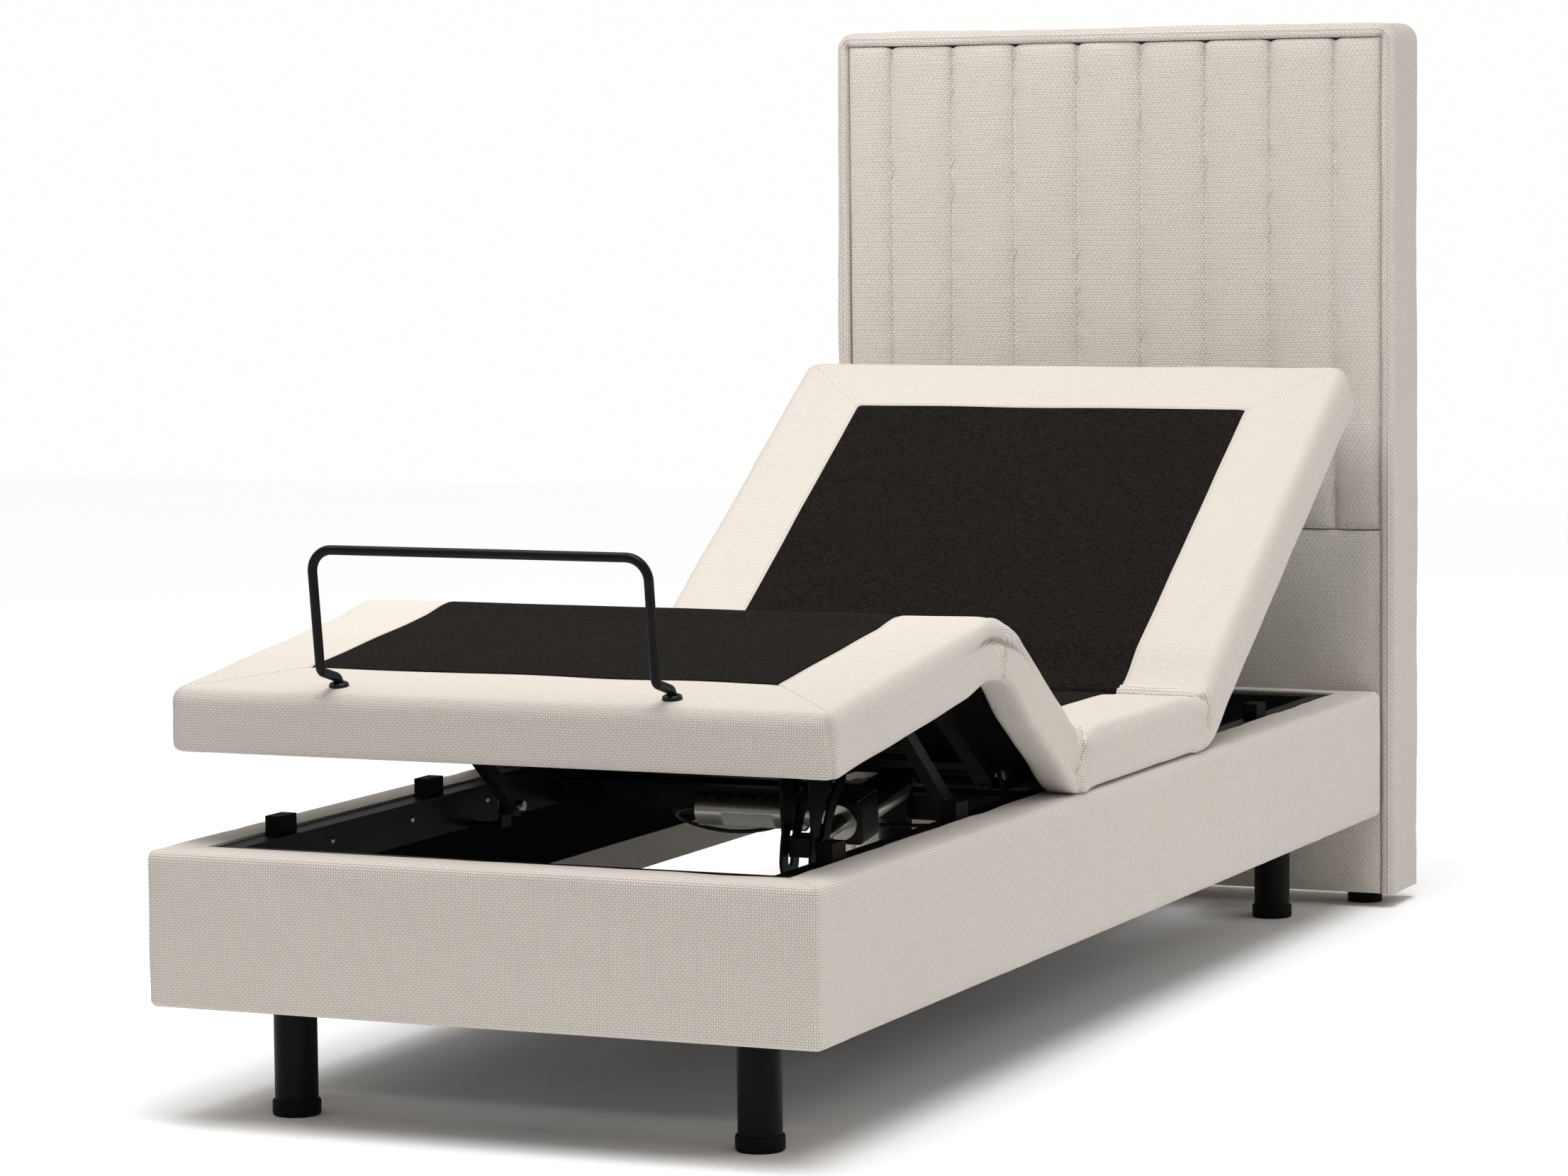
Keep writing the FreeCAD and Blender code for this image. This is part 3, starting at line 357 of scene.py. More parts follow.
def relaxed(piece, held, furthest, pressure=4.0):
    """Let the cloth swell over its foam from the held points, no point going further than a limit."""
    group = piece.vertex_groups.new(name="held")
    group.add([int(number) for number in np.flatnonzero(held)], 1.0, "REPLACE")
    before = read_places(piece.data)
    cloth = piece.modifiers.new("cloth", "CLOTH")
    cloth.settings.quality = 4
    cloth.settings.mass = 0.3
    cloth.settings.tension_stiffness = cloth.settings.compression_stiffness = STIFFNESS
    cloth.settings.shear_stiffness = STIFFNESS / 2
    cloth.settings.bending_stiffness = 0.3
    cloth.settings.use_pressure = True
    cloth.settings.uniform_pressure_force = pressure
    cloth.settings.vertex_group_mass = "held"
    cloth.settings.effector_weights.gravity = 0
    cloth.point_cache.frame_start, cloth.point_cache.frame_end = 1, SETTLING
    for moment in range(1, SETTLING + 1):
        scene.frame_set(moment)
    after = read_places(piece.evaluated_get(bpy.context.evaluated_depsgraph_get()).data)
    piece.modifiers.remove(cloth)
    piece.vertex_groups.remove(group)
    scene.frame_set(1)
    step = after - before
    length = np.maximum(np.linalg.norm(step, axis=1), 1e-9)
    write_places(piece.data, before + step * (furthest * np.tanh(length / furthest) / length)[:, None])


def applied(piece):
    """Make the evaluated piece its mesh, with no modifier left."""
    mesh = bpy.data.meshes.new_from_object(piece.evaluated_get(bpy.context.evaluated_depsgraph_get()))
    piece.modifiers.clear()
    piece.data = mesh
    return piece


def subdivided(piece, sharp=None):
    """One smooth subdivision; the rim of a face whose places are all marked stays sharp."""
    if sharp is not None:
        crease = piece.data.attributes.new("crease_edge", "FLOAT", "EDGE")
        rims = {}
        for face in piece.data.polygons:
            if all(sharp[list(face.vertices)]):
                for edge in face.edge_keys:
                    rims[edge] = rims.get(edge, 0) + 1
        crease.data.foreach_set("value", [float(rims.get(edge.key, 0) == 1) for edge in piece.data.edges])
    finer = piece.modifiers.new("finer", "SUBSURF")
    finer.levels = finer.render_levels = 1
    return applied(piece)


def uneven(places, size, seed):
    """Gentle unevenness between about -1 and 1 whose hills are so many metres apart."""
    draw = np.random.default_rng(seed)
    total = np.zeros(len(places))
    for _ in range(6):
        way = draw.normal(size=3)
        way *= 2 * pi / (size * np.linalg.norm(way)) * draw.uniform(0.7, 1.4)
        total += np.sin(places @ way + draw.uniform(0, 2 * pi))
    return total / 3


def bell(distance, width):
    return np.exp(-(distance / width) ** 2)


def eased(value, low, high):
    share = np.clip((value - low) / (high - low), 0, 1)
    return share * share * (3 - 2 * share)


def turned(places, hinge, angle):
    """Places turned about the X axis through a hinge, each by its own angle."""
    y, z = places[:, 1] - hinge[1], places[:, 2] - hinge[2]
    moved = places.copy()
    moved[:, 1] = hinge[1] + y * np.cos(angle) - z * np.sin(angle)
    moved[:, 2] = hinge[2] + y * np.sin(angle) + z * np.cos(angle)
    return moved


def foot_rest(flat, share):
    return turned(turned(flat, KNEE_FLAT, (1 - share) * KNEE_TURN), HINGES["thigh_lift"], -THIGH_TURN)


def middle_rest(flat, share):
    return turned(flat, HINGES["thigh_lift"], (share - 1) * THIGH_TURN)


def head_rest(flat, share):
    return turned(flat, HINGES["head_lift"], share * HEAD_TURN)


def bend_line(hinge, tilt, half, shift=0.0):
    """Where a bend starts and ends, to both sides of a hinge."""
    way = Vector((0, cos(radians(tilt)), sin(radians(tilt))))
    middle = Vector(hinge) + way * shift
    return middle - way * half, middle + way * half


BENDS = {
    "foot": (foot_rest, "calf_section", "thigh_section", KNEE_FLAT[1],
             *bend_line(HINGES["calf_fold"], -12.95, 0.108, 0.004)),
    "middle": (middle_rest, "thigh_section", "base", HINGES["thigh_lift"][1],
               *bend_line(HINGES["thigh_lift"], -16.5, 0.072)),
    "head": (head_rest, "base", "head_section", HINGES["head_lift"][1],
             *bend_line(HINGES["head_lift"], 16.45, 0.082, 0.010)),
}


def bent(piece, stretch):
    """Carry a flat piece to rest along its bend."""
    rest, before, after, middle, start, end = BENDS[stretch]
    flat = read_places(piece.data)
    way = np.array(end - start)
    share = (flat[:, 1] > middle).astype(float)
    for _ in range(90):
        along = np.clip(((rest(flat, share) - np.array(start)) @ way) / (way @ way), 0, 1)
        share = 0.5 * share + 0.5 * along * along * (3 - 2 * along)
    write_places(piece.data, rest(flat, share))
    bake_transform(piece)
    return piece


def closer(lines, joint, reach):
    """The same grid lines with one more between each two near a joint."""
    halved = [(low + high) / 2 for low, high in zip(lines, lines[1:])
              if abs((low + high) / 2 - joint) < reach and high - low > 0.006]
    return sorted(lines + halved)


def pad_skin(low, high, low_soft, high_soft, joint):
    """A stretch of the platform, flat, hollow under its middle where the boards lie."""
    start, end = rim_stops(-PAD_HALF, PAD_HALF, PAD_ROUND)
    inner = PAD_HALF - LIP
    xs = grid_lines(start + [-inner - 1e-4, -inner + 1e-4, -FELT_HALF, FELT_HALF, inner - 1e-4, inner + 1e-4]
                    + end, GRID_STEP)
    start, end = rim_stops(low, high, PAD_ROUND, low_soft, high_soft)
    low_lip = [low + LIP + 0.005, low + LIP + 0.0052, FELT_FOOT] if low_soft else []
    high_lip = [FELT_HEAD, high - LIP - 0.0052, high - LIP - 0.005] if high_soft else []
    ys = closer(grid_lines(start + low_lip + high_lip + end, GRID_STEP), joint, 0.062)
    zs = grid_lines(rim_stops(PAD_LOW, PAD_TOP, 0.009)[0] + rim_stops(PAD_LOW, PAD_TOP, PAD_ROUND)[1], 0.0065)
    places, faces, cloth = block_skin(xs, ys, zs)
    corner_low = (-PAD_HALF, low if low_soft else None, PAD_LOW)
    corner_high = (PAD_HALF, high if high_soft else None, PAD_TOP)
    radius = 0.009 + (PAD_ROUND - 0.009) * eased(places[:, 2], PAD_LOW + 0.010, PAD_TOP - 0.022)
    shaped = rounded(places, corner_low, corner_high, radius)
    hollow = abs(places[:, 0]) < inner
    if low_soft:
        hollow &= places[:, 1] > low + LIP + 0.0051
    if high_soft:
        hollow &= places[:, 1] < high - LIP - 0.0051
    lifted = DECK_TOP + (places[:, 2] - PAD_LOW) / (PAD_TOP - PAD_LOW) * (PAD_TOP - DECK_TOP)
    shaped[hollow, 2] = lifted[hollow]
    on_cut = np.zeros(len(places), bool)
    if not low_soft:
        on_cut |= abs(places[:, 1] - low) < 1e-6
    if not high_soft:
        on_cut |= abs(places[:, 1] - high) < 1e-6
    return shaped, faces, cloth, hollow & (places[:, 2] < PAD_LOW + 1e-6), on_cut


def felt_edge(places):
    """Distance outside the felt's rectangle, on the flat platform."""
    x = np.maximum(abs(places[:, 0]) - FELT_HALF, 0)
    y = np.maximum(np.maximum(FELT_FOOT - places[:, 1], places[:, 1] - FELT_HEAD), 0)
    return np.hypot(x, y)


def mitre(places):
    """Distance from the seams that run from the felt's corners out to the platform's corners."""
    nearest = np.full(len(places), 9.0)
    for end, felt_end in ((FOOT_END, FELT_FOOT), (HEAD_END, FELT_HEAD)):
        corner, inner = np.array((PAD_HALF, end)), np.array((FELT_HALF, felt_end))
        flat = np.stack((abs(places[:, 0]), places[:, 1]), axis=1)
        way = corner - inner
        share = np.clip(((flat - inner) @ way) / (way @ way), 0, 1)
        nearest = np.minimum(nearest, np.linalg.norm(flat - inner - share[:, None] * way, axis=1))
    return nearest


def gathers(places, normals, joint, raised):
    """How far the cloth goes in or out where it gathers over a joint.

    raised is 1 or -1 for the side of a valley that lifts, and 0 for the knee, whose cloth rolls
    over an arched fold above the pinched inner corner.
    """
    off = places[:, 1] - joint
    height = (places[:, 2] - PAD_LOW) / (PAD_TOP - PAD_LOW)
    hand = np.where(places[:, 0] > 0, 1.0, -1.0)
    side = eased(abs(places[:, 0]), PAD_HALF - 0.016, PAD_HALF - 0.004) * eased(abs(normals[:, 0]), 0.25, 0.6)
    if raised:
        up = off * raised
        bow = 0.008 * np.sin(np.clip(1 - height, 0, 1) * pi) * (raised > 0)
        line = up - 0.004 - bow + 0.003 * np.sin(height * 11 + hand)
        tuck = bell(line, 0.0054) * eased(height, 0.22, 0.46)
        swell = bell(off, 0.036) * eased(height, 0.2, 0.9)
        folds = np.sin((up - 0.006) / 0.0034 + height * 2.2 + hand) * bell(up - 0.020, 0.013) \
            * eased(height, 0.3, 0.8)
        sweep = height - 0.20 - 9.0 * up
        curl = (bell(sweep - 0.10, 0.085) - 0.8 * bell(sweep + 0.06, 0.07)) * bell(off, 0.030) \
            * (1 - eased(height, 0.35, 0.6))
        move = side * (0.0066 * swell - 0.0175 * tuck + 0.0028 * folds + 0.0042 * curl)
        ruck = 0.8 + 0.2 * np.sin(places[:, 0] * 21 + 1.3)
        top = eased(normals[:, 2], 0.3, 0.8)
        rows = np.sin((up - 0.004) / 0.0030 + 0.7 * np.sin(places[:, 0] * 33)) * bell(up - 0.022, 0.012)
        move += top * (0.0036 * bell(up - 0.016, 0.011) * ruck - 0.0105 * bell(off, 0.0055)
                       + 0.0032 * rows * ruck)
        return move
    arch = 0.60 + 0.16 * eased(off, 0.0, 0.070) + 0.09 * eased(-off, 0.0, 0.080) + 0.02 * hand
    fold = bell(height - arch + 0.02, 0.058) * bell(off - 0.006, 0.072)
    roll = bell(height - arch - 0.22, 0.16) * bell(off - 0.004, 0.075)
    second = bell(height - arch - 0.12, 0.045) * bell(off - 0.056, 0.022)
    below = 1 - eased(height, arch - 0.16, arch - 0.02)
    pinch = bell(off - 0.002, 0.0058) * (1 - eased(height, 0.35, 0.60))
    pleats = np.sin(off / 0.0025 + height * 3.0 + hand) * bell(off + 0.001, 0.020) * below
    step = np.where(off > 0, np.exp(-np.abs(off) / 0.030), 0) * (1 - eased(height, 0.40, 0.62))
    swell = bell(off + 0.018, 0.022) * below
    sunk = eased(normals[:, 2], 0.0, 0.5) * bell(off - 0.013, 0.037)
    return -0.0095 * sunk + side * (0.0066 * roll - 0.0140 * fold - 0.0035 * second - 0.0075 * pinch
                                    + 0.0022 * pleats - 0.0042 * step + 0.0040 * swell)


def platform_piece(name, low, high, low_soft, high_soft, joint, raised, seed):
    """One length of the padded platform, still flat, after the cloth has settled."""
    places, faces, cloth, hollow, on_cut = pad_skin(low, high, low_soft, high_soft, joint)
    piece = made_mesh(name, places, faces, platform_cloth, cloth)
    under = places[:, 2] < PAD_LOW + 0.004
    held = on_cut | hollow | under | (felt_edge(places) < 1e-6) & (places[:, 2] > PAD_TOP - 1e-3)
    cuts = [edge for edge, soft in ((low, low_soft), (high, high_soft)) if not soft]
    near_cut = np.max([bell(places[:, 1] - cut, 0.03) for cut in cuts], axis=0)
    relaxed(piece, held, 0.0055)
    settled = read_places(piece.data)
    write_places(piece.data, settled + (places - settled) * near_cut[:, None])
    subdivided(piece, on_cut)
    flat, normals = read_places(piece.data), read_normals(piece.data)
    free = np.prod([1 - bell(flat[:, 1] - cut, 0.02) for cut in cuts], axis=0)
    in_recess = (abs(flat[:, 0]) < PAD_HALF - LIP + 0.002) & (flat[:, 2] < DECK_TOP + 0.006)
    edge = felt_edge(flat)
    move = 0.0006 * uneven(flat, 0.16, seed) * free
    move -= 0.0014 * bell(mitre(flat), 0.0042)
    move -= 0.0016 * bell(edge, 0.006) * (normals[:, 2] > 0.6)
    move += gathers(flat, normals, joint, raised)
    move[in_recess] = 0
    write_places(piece.data, flat + normals * move[:, None])
    return piece


THIGH_HINGE, HEAD_HINGE = HINGES["thigh_lift"], HINGES["head_lift"]
foot_pad = platform_piece("foot_padding", FOOT_END, THIGH_CUT, True, False, KNEE_FLAT[1], 0, 11)
middle_pad = platform_piece("middle_padding", THIGH_CUT, SEAT_CUT, False, False, THIGH_HINGE[1], -1, 12)
head_pad = platform_piece("head_padding", SEAT_CUT, HEAD_END, False, True, HEAD_HINGE[1] - 0.016, 1, 13)


# ---- felt panels
# Black needle-felt, sewn into the cloth along its edge, keeps the mattress from sliding. It is thin
# and flush with the cloth, and it runs on over the joints.
felt_finish = Finish("felt_finish", Roughness=0.97, Specular_IOR_Level=0.06, Sheen_Weight=0.008)
coarse, fine = felt_finish.speckle(0.0045, 4.0), felt_finish.speckle(0.0012, 3.0)
clumps = felt_finish.mixed(coarse.between(0.35, 0.7), (0.0046, 0.0038, 0.0032, 1), (0.0125, 0.0104, 0.0086, 1))
clumps = felt_finish.mixed(fine.between(0.55, 0.75) * 0.55, clumps, (0.047, 0.040, 0.033, 1))
felt_finish.feed(felt_finish.surface, {"Base Color": clumps})
felt_finish.relief(coarse * 0.6 + fine * 0.6, 0.0020)


def felt_panel(name, pad):
    """A thin closed sheet that lies on the flat pad inside the felt's seam."""
    places, normals = read_places(pad.data), read_normals(pad.data)
    inside = (felt_edge(places) < 2e-4) & (normals[:, 2] > 0.5) & (places[:, 2] > PAD_TOP - 0.02)
    picked = [list(face.vertices) for face in pad.data.polygons if all(inside[list(face.vertices)])]
    used = sorted({number for face in picked for number in face})
    order = {number: place for place, number in enumerate(used)}
    count, lower = len(used), places[used] + (0, 0, 0.0002)
    faces = [[order[number] + count for number in face] for face in picked]
    faces += [[order[number] for number in reversed(face)] for face in picked]
    sides = dict.fromkeys(side for face in picked for side in zip(face, face[1:] + face[:1]))
    faces += [[order[a], order[b], order[b] + count, order[a] + count]
              for a, b in sides if (b, a) not in sides]
    panel = made_mesh(name, np.vstack((lower, lower + (0, 0, 0.0016))), faces, felt_finish)
    panel.data.set_sharp_from_angle(angle=radians(60))
    return panel


felts = {
    "foot": (felt_panel("foot_felt_panel", foot_pad), THIGH_CUT - FELT_FOOT, ("calf_felt",)),
    "middle": (felt_panel("middle_felt_panel", middle_pad), SEAT_CUT - THIGH_CUT, ("thigh_felt",)),
    "head": (felt_panel("head_felt_panel", head_pad), FELT_HEAD - SEAT_CUT, ("seat_felt", "head_felt")),
}


# ---- stitches of the platform cloth
# Short loops of thread along the seams: round the felt, along the mitres of the border and down the
# corners. They are laid on the flat cloth and bend with it.
thread_finish = flecked("thread_finish", 0.0007, (0.62, 0.565, 0.515, 1), (0.48, 0.43, 0.385, 1), detail=2.0,
                        Roughness=0.8, Sheen_Weight=0.2)


class Layout(Nodes):
    """A Geometry Nodes tree with named inputs."""

    def __init__(self, name, **sizes):
        self.tree = bpy.data.node_groups.new(name, "GeometryNodeTree")
        self.sockets = {"Geometry": self.tree.interface.new_socket(
            name="Geometry", in_out="INPUT", socket_type="NodeSocketGeometry")}
        self.tree.interface.new_socket(name="Geometry", in_out="OUTPUT", socket_type="NodeSocketGeometry")
        for size, kind in sizes.items():
            self.sockets[size] = self.tree.interface.new_socket(
                name=size, in_out="INPUT", socket_type="NodeSocket" + kind)
        self.given = self.tree.nodes.new("NodeGroupInput")

    def end(self, geometry, material):
        whole = self.node("GeometryNodeRealizeInstances", None, {"Geometry": geometry})
        painted = self.node("GeometryNodeSetMaterial", None,
                            {"Geometry": whole.outputs[0], "Material": material})
        self.node("NodeGroupOutput", None, {"Geometry": painted.outputs[0]})

    def laid(self, name, places, edges, finish, facing=None, **sizes):
        """A mesh of the tree's result over the given points and edges."""
        mesh = bpy.data.meshes.new(name)
        mesh.from_pydata([tuple(place) for place in places], edges, [])
        if facing is not None:
            mesh.attributes.new("facing", "FLOAT_VECTOR", "POINT").data.foreach_set(
                "vector", np.asarray(facing, np.float32).ravel())
        mesh.materials.append(finish.material)
        piece = linked(name, mesh)
        modifier = piece.modifiers.new("layout", "NODES")
        modifier.node_group = self.tree
        for size, value in sizes.items():
            modifier[self.sockets[size].identifier] = value
        return applied(piece)


def stitch_layout(finish):
    layout = Layout("seam_stitches", Spacing="Float", Length="Float", Thickness="Float")
    given = layout.given.outputs
    path = layout.node("GeometryNodeMeshToCurve", None, {"Mesh": given["Geometry"]})
    even = layout.node("GeometryNodeResampleCurve", {"mode": "LENGTH"},
                       {"Curve": path.outputs[0], "Length": given["Spacing"]})
    loop = layout.node("GeometryNodeMeshCylinder", None,
                       {"Vertices": 6, "Radius": given["Thickness"], "Depth": given["Length"]})
    way = layout.node("FunctionNodeAlignRotationToVector", {"axis": "Z"},
                      {"Vector": layout.node("GeometryNodeInputTangent").outputs[0]})
    loops = layout.node("GeometryNodeInstanceOnPoints", None,
                        {"Points": even.outputs[0], "Instance": loop.outputs[0], "Rotation": way.outputs[0]})
    layout.end(loops.outputs[0], finish.material)
    return layout


stitching = stitch_layout(thread_finish)


def on_cloth(piece, line, lift=0.0):
    """A line of places laid on the nearest cloth."""
    tree = BVHTree.FromObject(piece, bpy.context.evaluated_depsgraph_get())
    laid = []
    for place in line:
        spot, normal, _, _ = tree.find_nearest(Vector(place))
        laid.append(spot + normal * lift)
    return laid


def stitched(name, piece, lines, spacing=0.0052, length=0.0034, thickness=0.00045, lift=0.0001):
    places, edges = [], []
    for line in lines:
        laid = on_cloth(piece, line, lift)
        edges += [(len(places) + number, len(places) + number + 1) for number in range(len(laid) - 1)]
        places += laid
    return stitching.laid(name, places, edges, thread_finish,
                          Spacing=spacing, Length=length, Thickness=thickness)


def straight(first, last, count=60):
    first, last = Vector(first), Vector(last)
    return [first.lerp(last, number / count) for number in range(count + 1)]


def corner_seam(side, end, felt_end):
    """From the felt's corner out over the border and down the corner of the pad."""
    out = straight((side * (FELT_HALF + 0.003), felt_end, PAD_TOP), (side * PAD_HALF, end, PAD_TOP + 0.002), 40)
    corner = (side * (PAD_HALF + 0.01), end + (0.01 if end > 0 else -0.01))
    return out + straight((*corner, PAD_TOP - 0.006), (*corner, PAD_LOW + 0.010), 16)


SEAM_GAP = 0.0045             # from the felt's edge out to its seam


def felt_seam(low, high, ends):
    edge = FELT_HALF + SEAM_GAP
    lines = [straight((side * edge, low, PAD_TOP), (side * edge, high, PAD_TOP)) for side in (-1, 1)]
    lines += [straight((-edge, end, PAD_TOP), (edge, end, PAD_TOP)) for end in ends]
    return lines


seams = {
    "foot": stitched("foot_stitches", foot_pad,
                     felt_seam(FELT_FOOT - SEAM_GAP, THIGH_CUT - 0.002, (FELT_FOOT - SEAM_GAP,))
                     + [corner_seam(side, FOOT_END, FELT_FOOT) for side in (-1, 1)]),
    "middle": stitched("middle_stitches", middle_pad, felt_seam(THIGH_CUT + 0.002, SEAT_CUT - 0.002, ())),
    "head": stitched("head_stitches", head_pad,
                     felt_seam(SEAT_CUT + 0.002, FELT_HEAD + SEAM_GAP, (FELT_HEAD + SEAM_GAP,))
                     + [corner_seam(side, HEAD_END, FELT_HEAD) for side in (-1, 1)]),
}

for stretch, pad, cad_pads in (("foot", foot_pad, ("calf_pad",)), ("middle", middle_pad, ("thigh_pad",)),
                               ("head", head_pad, ("seat_pad", "head_pad"))):
    panel, length, cad_felts = felts[stretch]
    pad.data.set_sharp_from_angle(angle=radians(62))
    for piece in (pad, panel, seams[stretch]):
        bent(piece, stretch)
    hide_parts(*cad_pads)
    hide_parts(*cad_felts)


# ---- cover of the box
# The same cream cloth over a thin foam on the four boards, turned in over their top edges and, as a
# hem, up the inside at the bottom. Each corner is closed with a sewn seam.
def fixed(piece, body, slot, *cad_nodes):
    """Let a piece move with a body and let it stand for the given nodes; slot is not used."""
    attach(piece, body)
    if cad_nodes:
        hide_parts(*cad_nodes)


def faced_outward(piece, merging=0.0):
    """Turn every face of a closed piece outward, after merging places that lie closer than a limit."""
    shell = bmesh.new()
    shell.from_mesh(piece.data)
    if merging:
        bmesh.ops.remove_doubles(shell, verts=shell.verts, dist=merging)
        bmesh.ops.dissolve_degenerate(shell, edges=shell.edges, dist=1e-6)
    bmesh.ops.recalc_face_normals(shell, faces=shell.faces)
    shell.to_mesh(piece.data)
    shell.free()


def rim_path(half, low, high, radius, closed, step):
    """Stations round a rounded rectangle: centre of the rounding, outward way and length so far."""
    corners = [(half - radius, high - radius, 0, 90), (-(half - radius), high - radius, 90, 180)]
    if closed:
        corners += [(-(half - radius), low + radius, 180, 270), ((half - radius), low + radius, 270, 360)]
    stations = []
    for number, (x, y, start, end) in enumerate(corners):
        for turn in np.linspace(radians(start), radians(end), 7):
            stations.append((x, y, cos(turn), sin(turn)))
        after = corners[(number + 1) % len(corners)]
        if closed or number == 0:
            count = max(2, round(hypot(after[0] - x, after[1] - y) / step))
            way = (cos(radians(end)), sin(radians(end)))
            stations += [(x + (after[0] - x) * part / count, y + (after[1] - y) * part / count, *way)
                         for part in range(1, count)]
    if not closed:
        count = round((high - radius - low) / step)
        rise = [(high - radius - low) * part / count for part in range(count)]
        stations = [(half - radius, low + part, 1, 0) for part in rise] + stations
        stations += [(-(half - radius), low + part, -1, 0) for part in reversed(rise)]
    return stations


def rim_swept(name, stations, outline, radius, half, low, high, closed, placed, finish, inner=1.0):
    """An outline of (depth from the outside, level) carried round the stations.

    inner is the share of a depth that the two short sides have; placed turns a place in the plane
    and a level into one in the row frame.
    """
    rows, path, run = [], [], 0.0
    previous = None
    for x, y, right, up in stations:
        outer = (x + radius * right, y + radius * up)
        run += 0 if previous is None else hypot(outer[0] - previous[0], outer[1] - previous[1])
        previous = outer
        path.append(run)
        row = []
        for depth, height in outline:
            depth_x, depth_y = depth, depth if depth <= radius else radius + (depth - radius) * inner
            used = depth_x * right * right + depth_y * up * up
            a, b = x + (radius - used) * right, y + (radius - used) * up
            if depth > radius:
                a = min(max(a, -half + depth_x), half - depth_x)
                b = min(b, high - depth_y)
                b = max(b, low + depth_y) if closed else b
            row.append(placed(a, b, height))
        rows.append(row)
    lengths = [0.0]
    for (depth, height), (after, above_it) in zip(outline, outline[1:] + outline[:1]):
        lengths.append(lengths[-1] + hypot(after - depth, above_it - height))
    count, total = len(outline), len(rows)
    faces, cloth = [], []
    for row in range(total if closed else total - 1):
        follower = (row + 1) % total
        far = path[follower] if follower else path[-1] + 0.01
        for column in range(count):
            beside = (column + 1) % count
            faces.append([row * count + column, follower * count + column,
                          follower * count + beside, row * count + beside])
            cloth += [(path[row], lengths[column]), (far, lengths[column]),
                      (far, lengths[column + 1]), (path[row], lengths[column + 1])]
    if not closed:
        faces += [list(range(count)), list(range((total - 1) * count, total * count))[::-1]]
        cloth += [outline[number] for number in range(count)]
        cloth += [outline[number] for number in reversed(range(count))]
    piece = made_mesh(name, [place for row in rows for place in row], faces, finish, cloth)
    faced_outward(piece, merging=2e-5)
    piece.data.shade_smooth()
    return piece


def rounding(centre, radius, start, end, count=5):
    """Places of a quarter round in an outline."""
    return [(centre[0] + radius * cos(radians(turn)), centre[1] + radius * sin(radians(turn)))
            for turn in np.linspace(start, end, count)]


def stretch_of(first, last, step=0.009):
    count = max(1, round(hypot(last[0] - first[0], last[1] - first[1]) / step))
    return [(first[0] + (last[0] - first[0]) * part / count, first[1] + (last[1] - first[1]) * part / count)
            for part in range(1, count)]


BOX_HALF, BOX_LOW, BOX_HIGH, BOX_ROUND = 0.415, -1.080, 0.950, 0.008
BOX_FLOOR, BOX_TOP = 0.135, 0.315
BOARD_EDGE, END_EDGE = 0.055, 0.045        # how far the cover turns in over the long and the short boards
box_outline = rounding((0.008, BOX_FLOOR + 0.008), 0.008, 270, 180)
box_outline += stretch_of((0, BOX_FLOOR + 0.008), (0, BOX_TOP - 0.010))
box_outline += rounding((0.010, BOX_TOP - 0.010), 0.010, 180, 90)
box_outline += stretch_of((0.010, BOX_TOP), (BOARD_EDGE, BOX_TOP))
box_outline += [(BOARD_EDGE, BOX_TOP), (BOARD_EDGE, BOX_TOP - 0.0032), (0.0042, BOX_TOP - 0.0032),
                (0.0042, BOX_FLOOR + 0.0032), (BOARD_EDGE + 0.0003, BOX_FLOOR + 0.0032),
                (BOARD_EDGE + 0.0003, BOX_FLOOR + 0.045), (BOARD_EDGE + 0.002, BOX_FLOOR + 0.045),
                (BOARD_EDGE + 0.002, BOX_FLOOR + 0.001), (BOARD_EDGE - 0.001, BOX_FLOOR)]
box_path = rim_path(BOX_HALF, BOX_LOW, BOX_HIGH, BOX_ROUND, True, 0.014)
box_cover = rim_swept("box_cover", box_path, box_outline, BOX_ROUND, BOX_HALF, BOX_LOW, BOX_HIGH, True,
                      lambda a, b, height: (a, b, height), platform_cloth,
                      inner=(END_EDGE - BOX_ROUND) / (BOARD_EDGE - BOX_ROUND))
places, normals = read_places(box_cover.data), read_normals(box_cover.data)
to_side, to_end = BOX_HALF - abs(places[:, 0]), np.minimum(places[:, 1] - BOX_LOW, BOX_HIGH - places[:, 1])
corner_gap = np.hypot(to_side, to_end)
on_top = places[:, 2] > BOX_TOP - 0.001
shown = ((np.minimum(to_side, to_end) < 0.0035) | on_top).astype(float)
move = 0.0008 * uneven(places, 0.21, 21) + 0.0005 * uneven(places, 0.07, 22)
move += 0.0009 * bell(places[:, 2] - (BOX_TOP - 0.020), 0.012) * uneven(places, 0.05, 23)
move -= 0.0004 * bell(corner_gap - 0.004, 0.005)
move = np.where(on_top, np.minimum(move, 0.0002), move)
write_places(box_cover.data, places + normals * (move * shown)[:, None])
box_cover.data.set_sharp_from_angle(angle=radians(50))
fixed(box_cover, "base", "cover_fabric", "base_cover")

box_corners = [straight((side, end, BOX_TOP - 0.012), (side, end, BOX_FLOOR + 0.008), 30)
               for side in (-BOX_HALF - 0.02, BOX_HALF + 0.02) for end in (BOX_LOW - 0.02, BOX_HIGH + 0.02)]
fixed(stitched("box_stitches", box_cover, box_corners), "base", "cover_fabric")


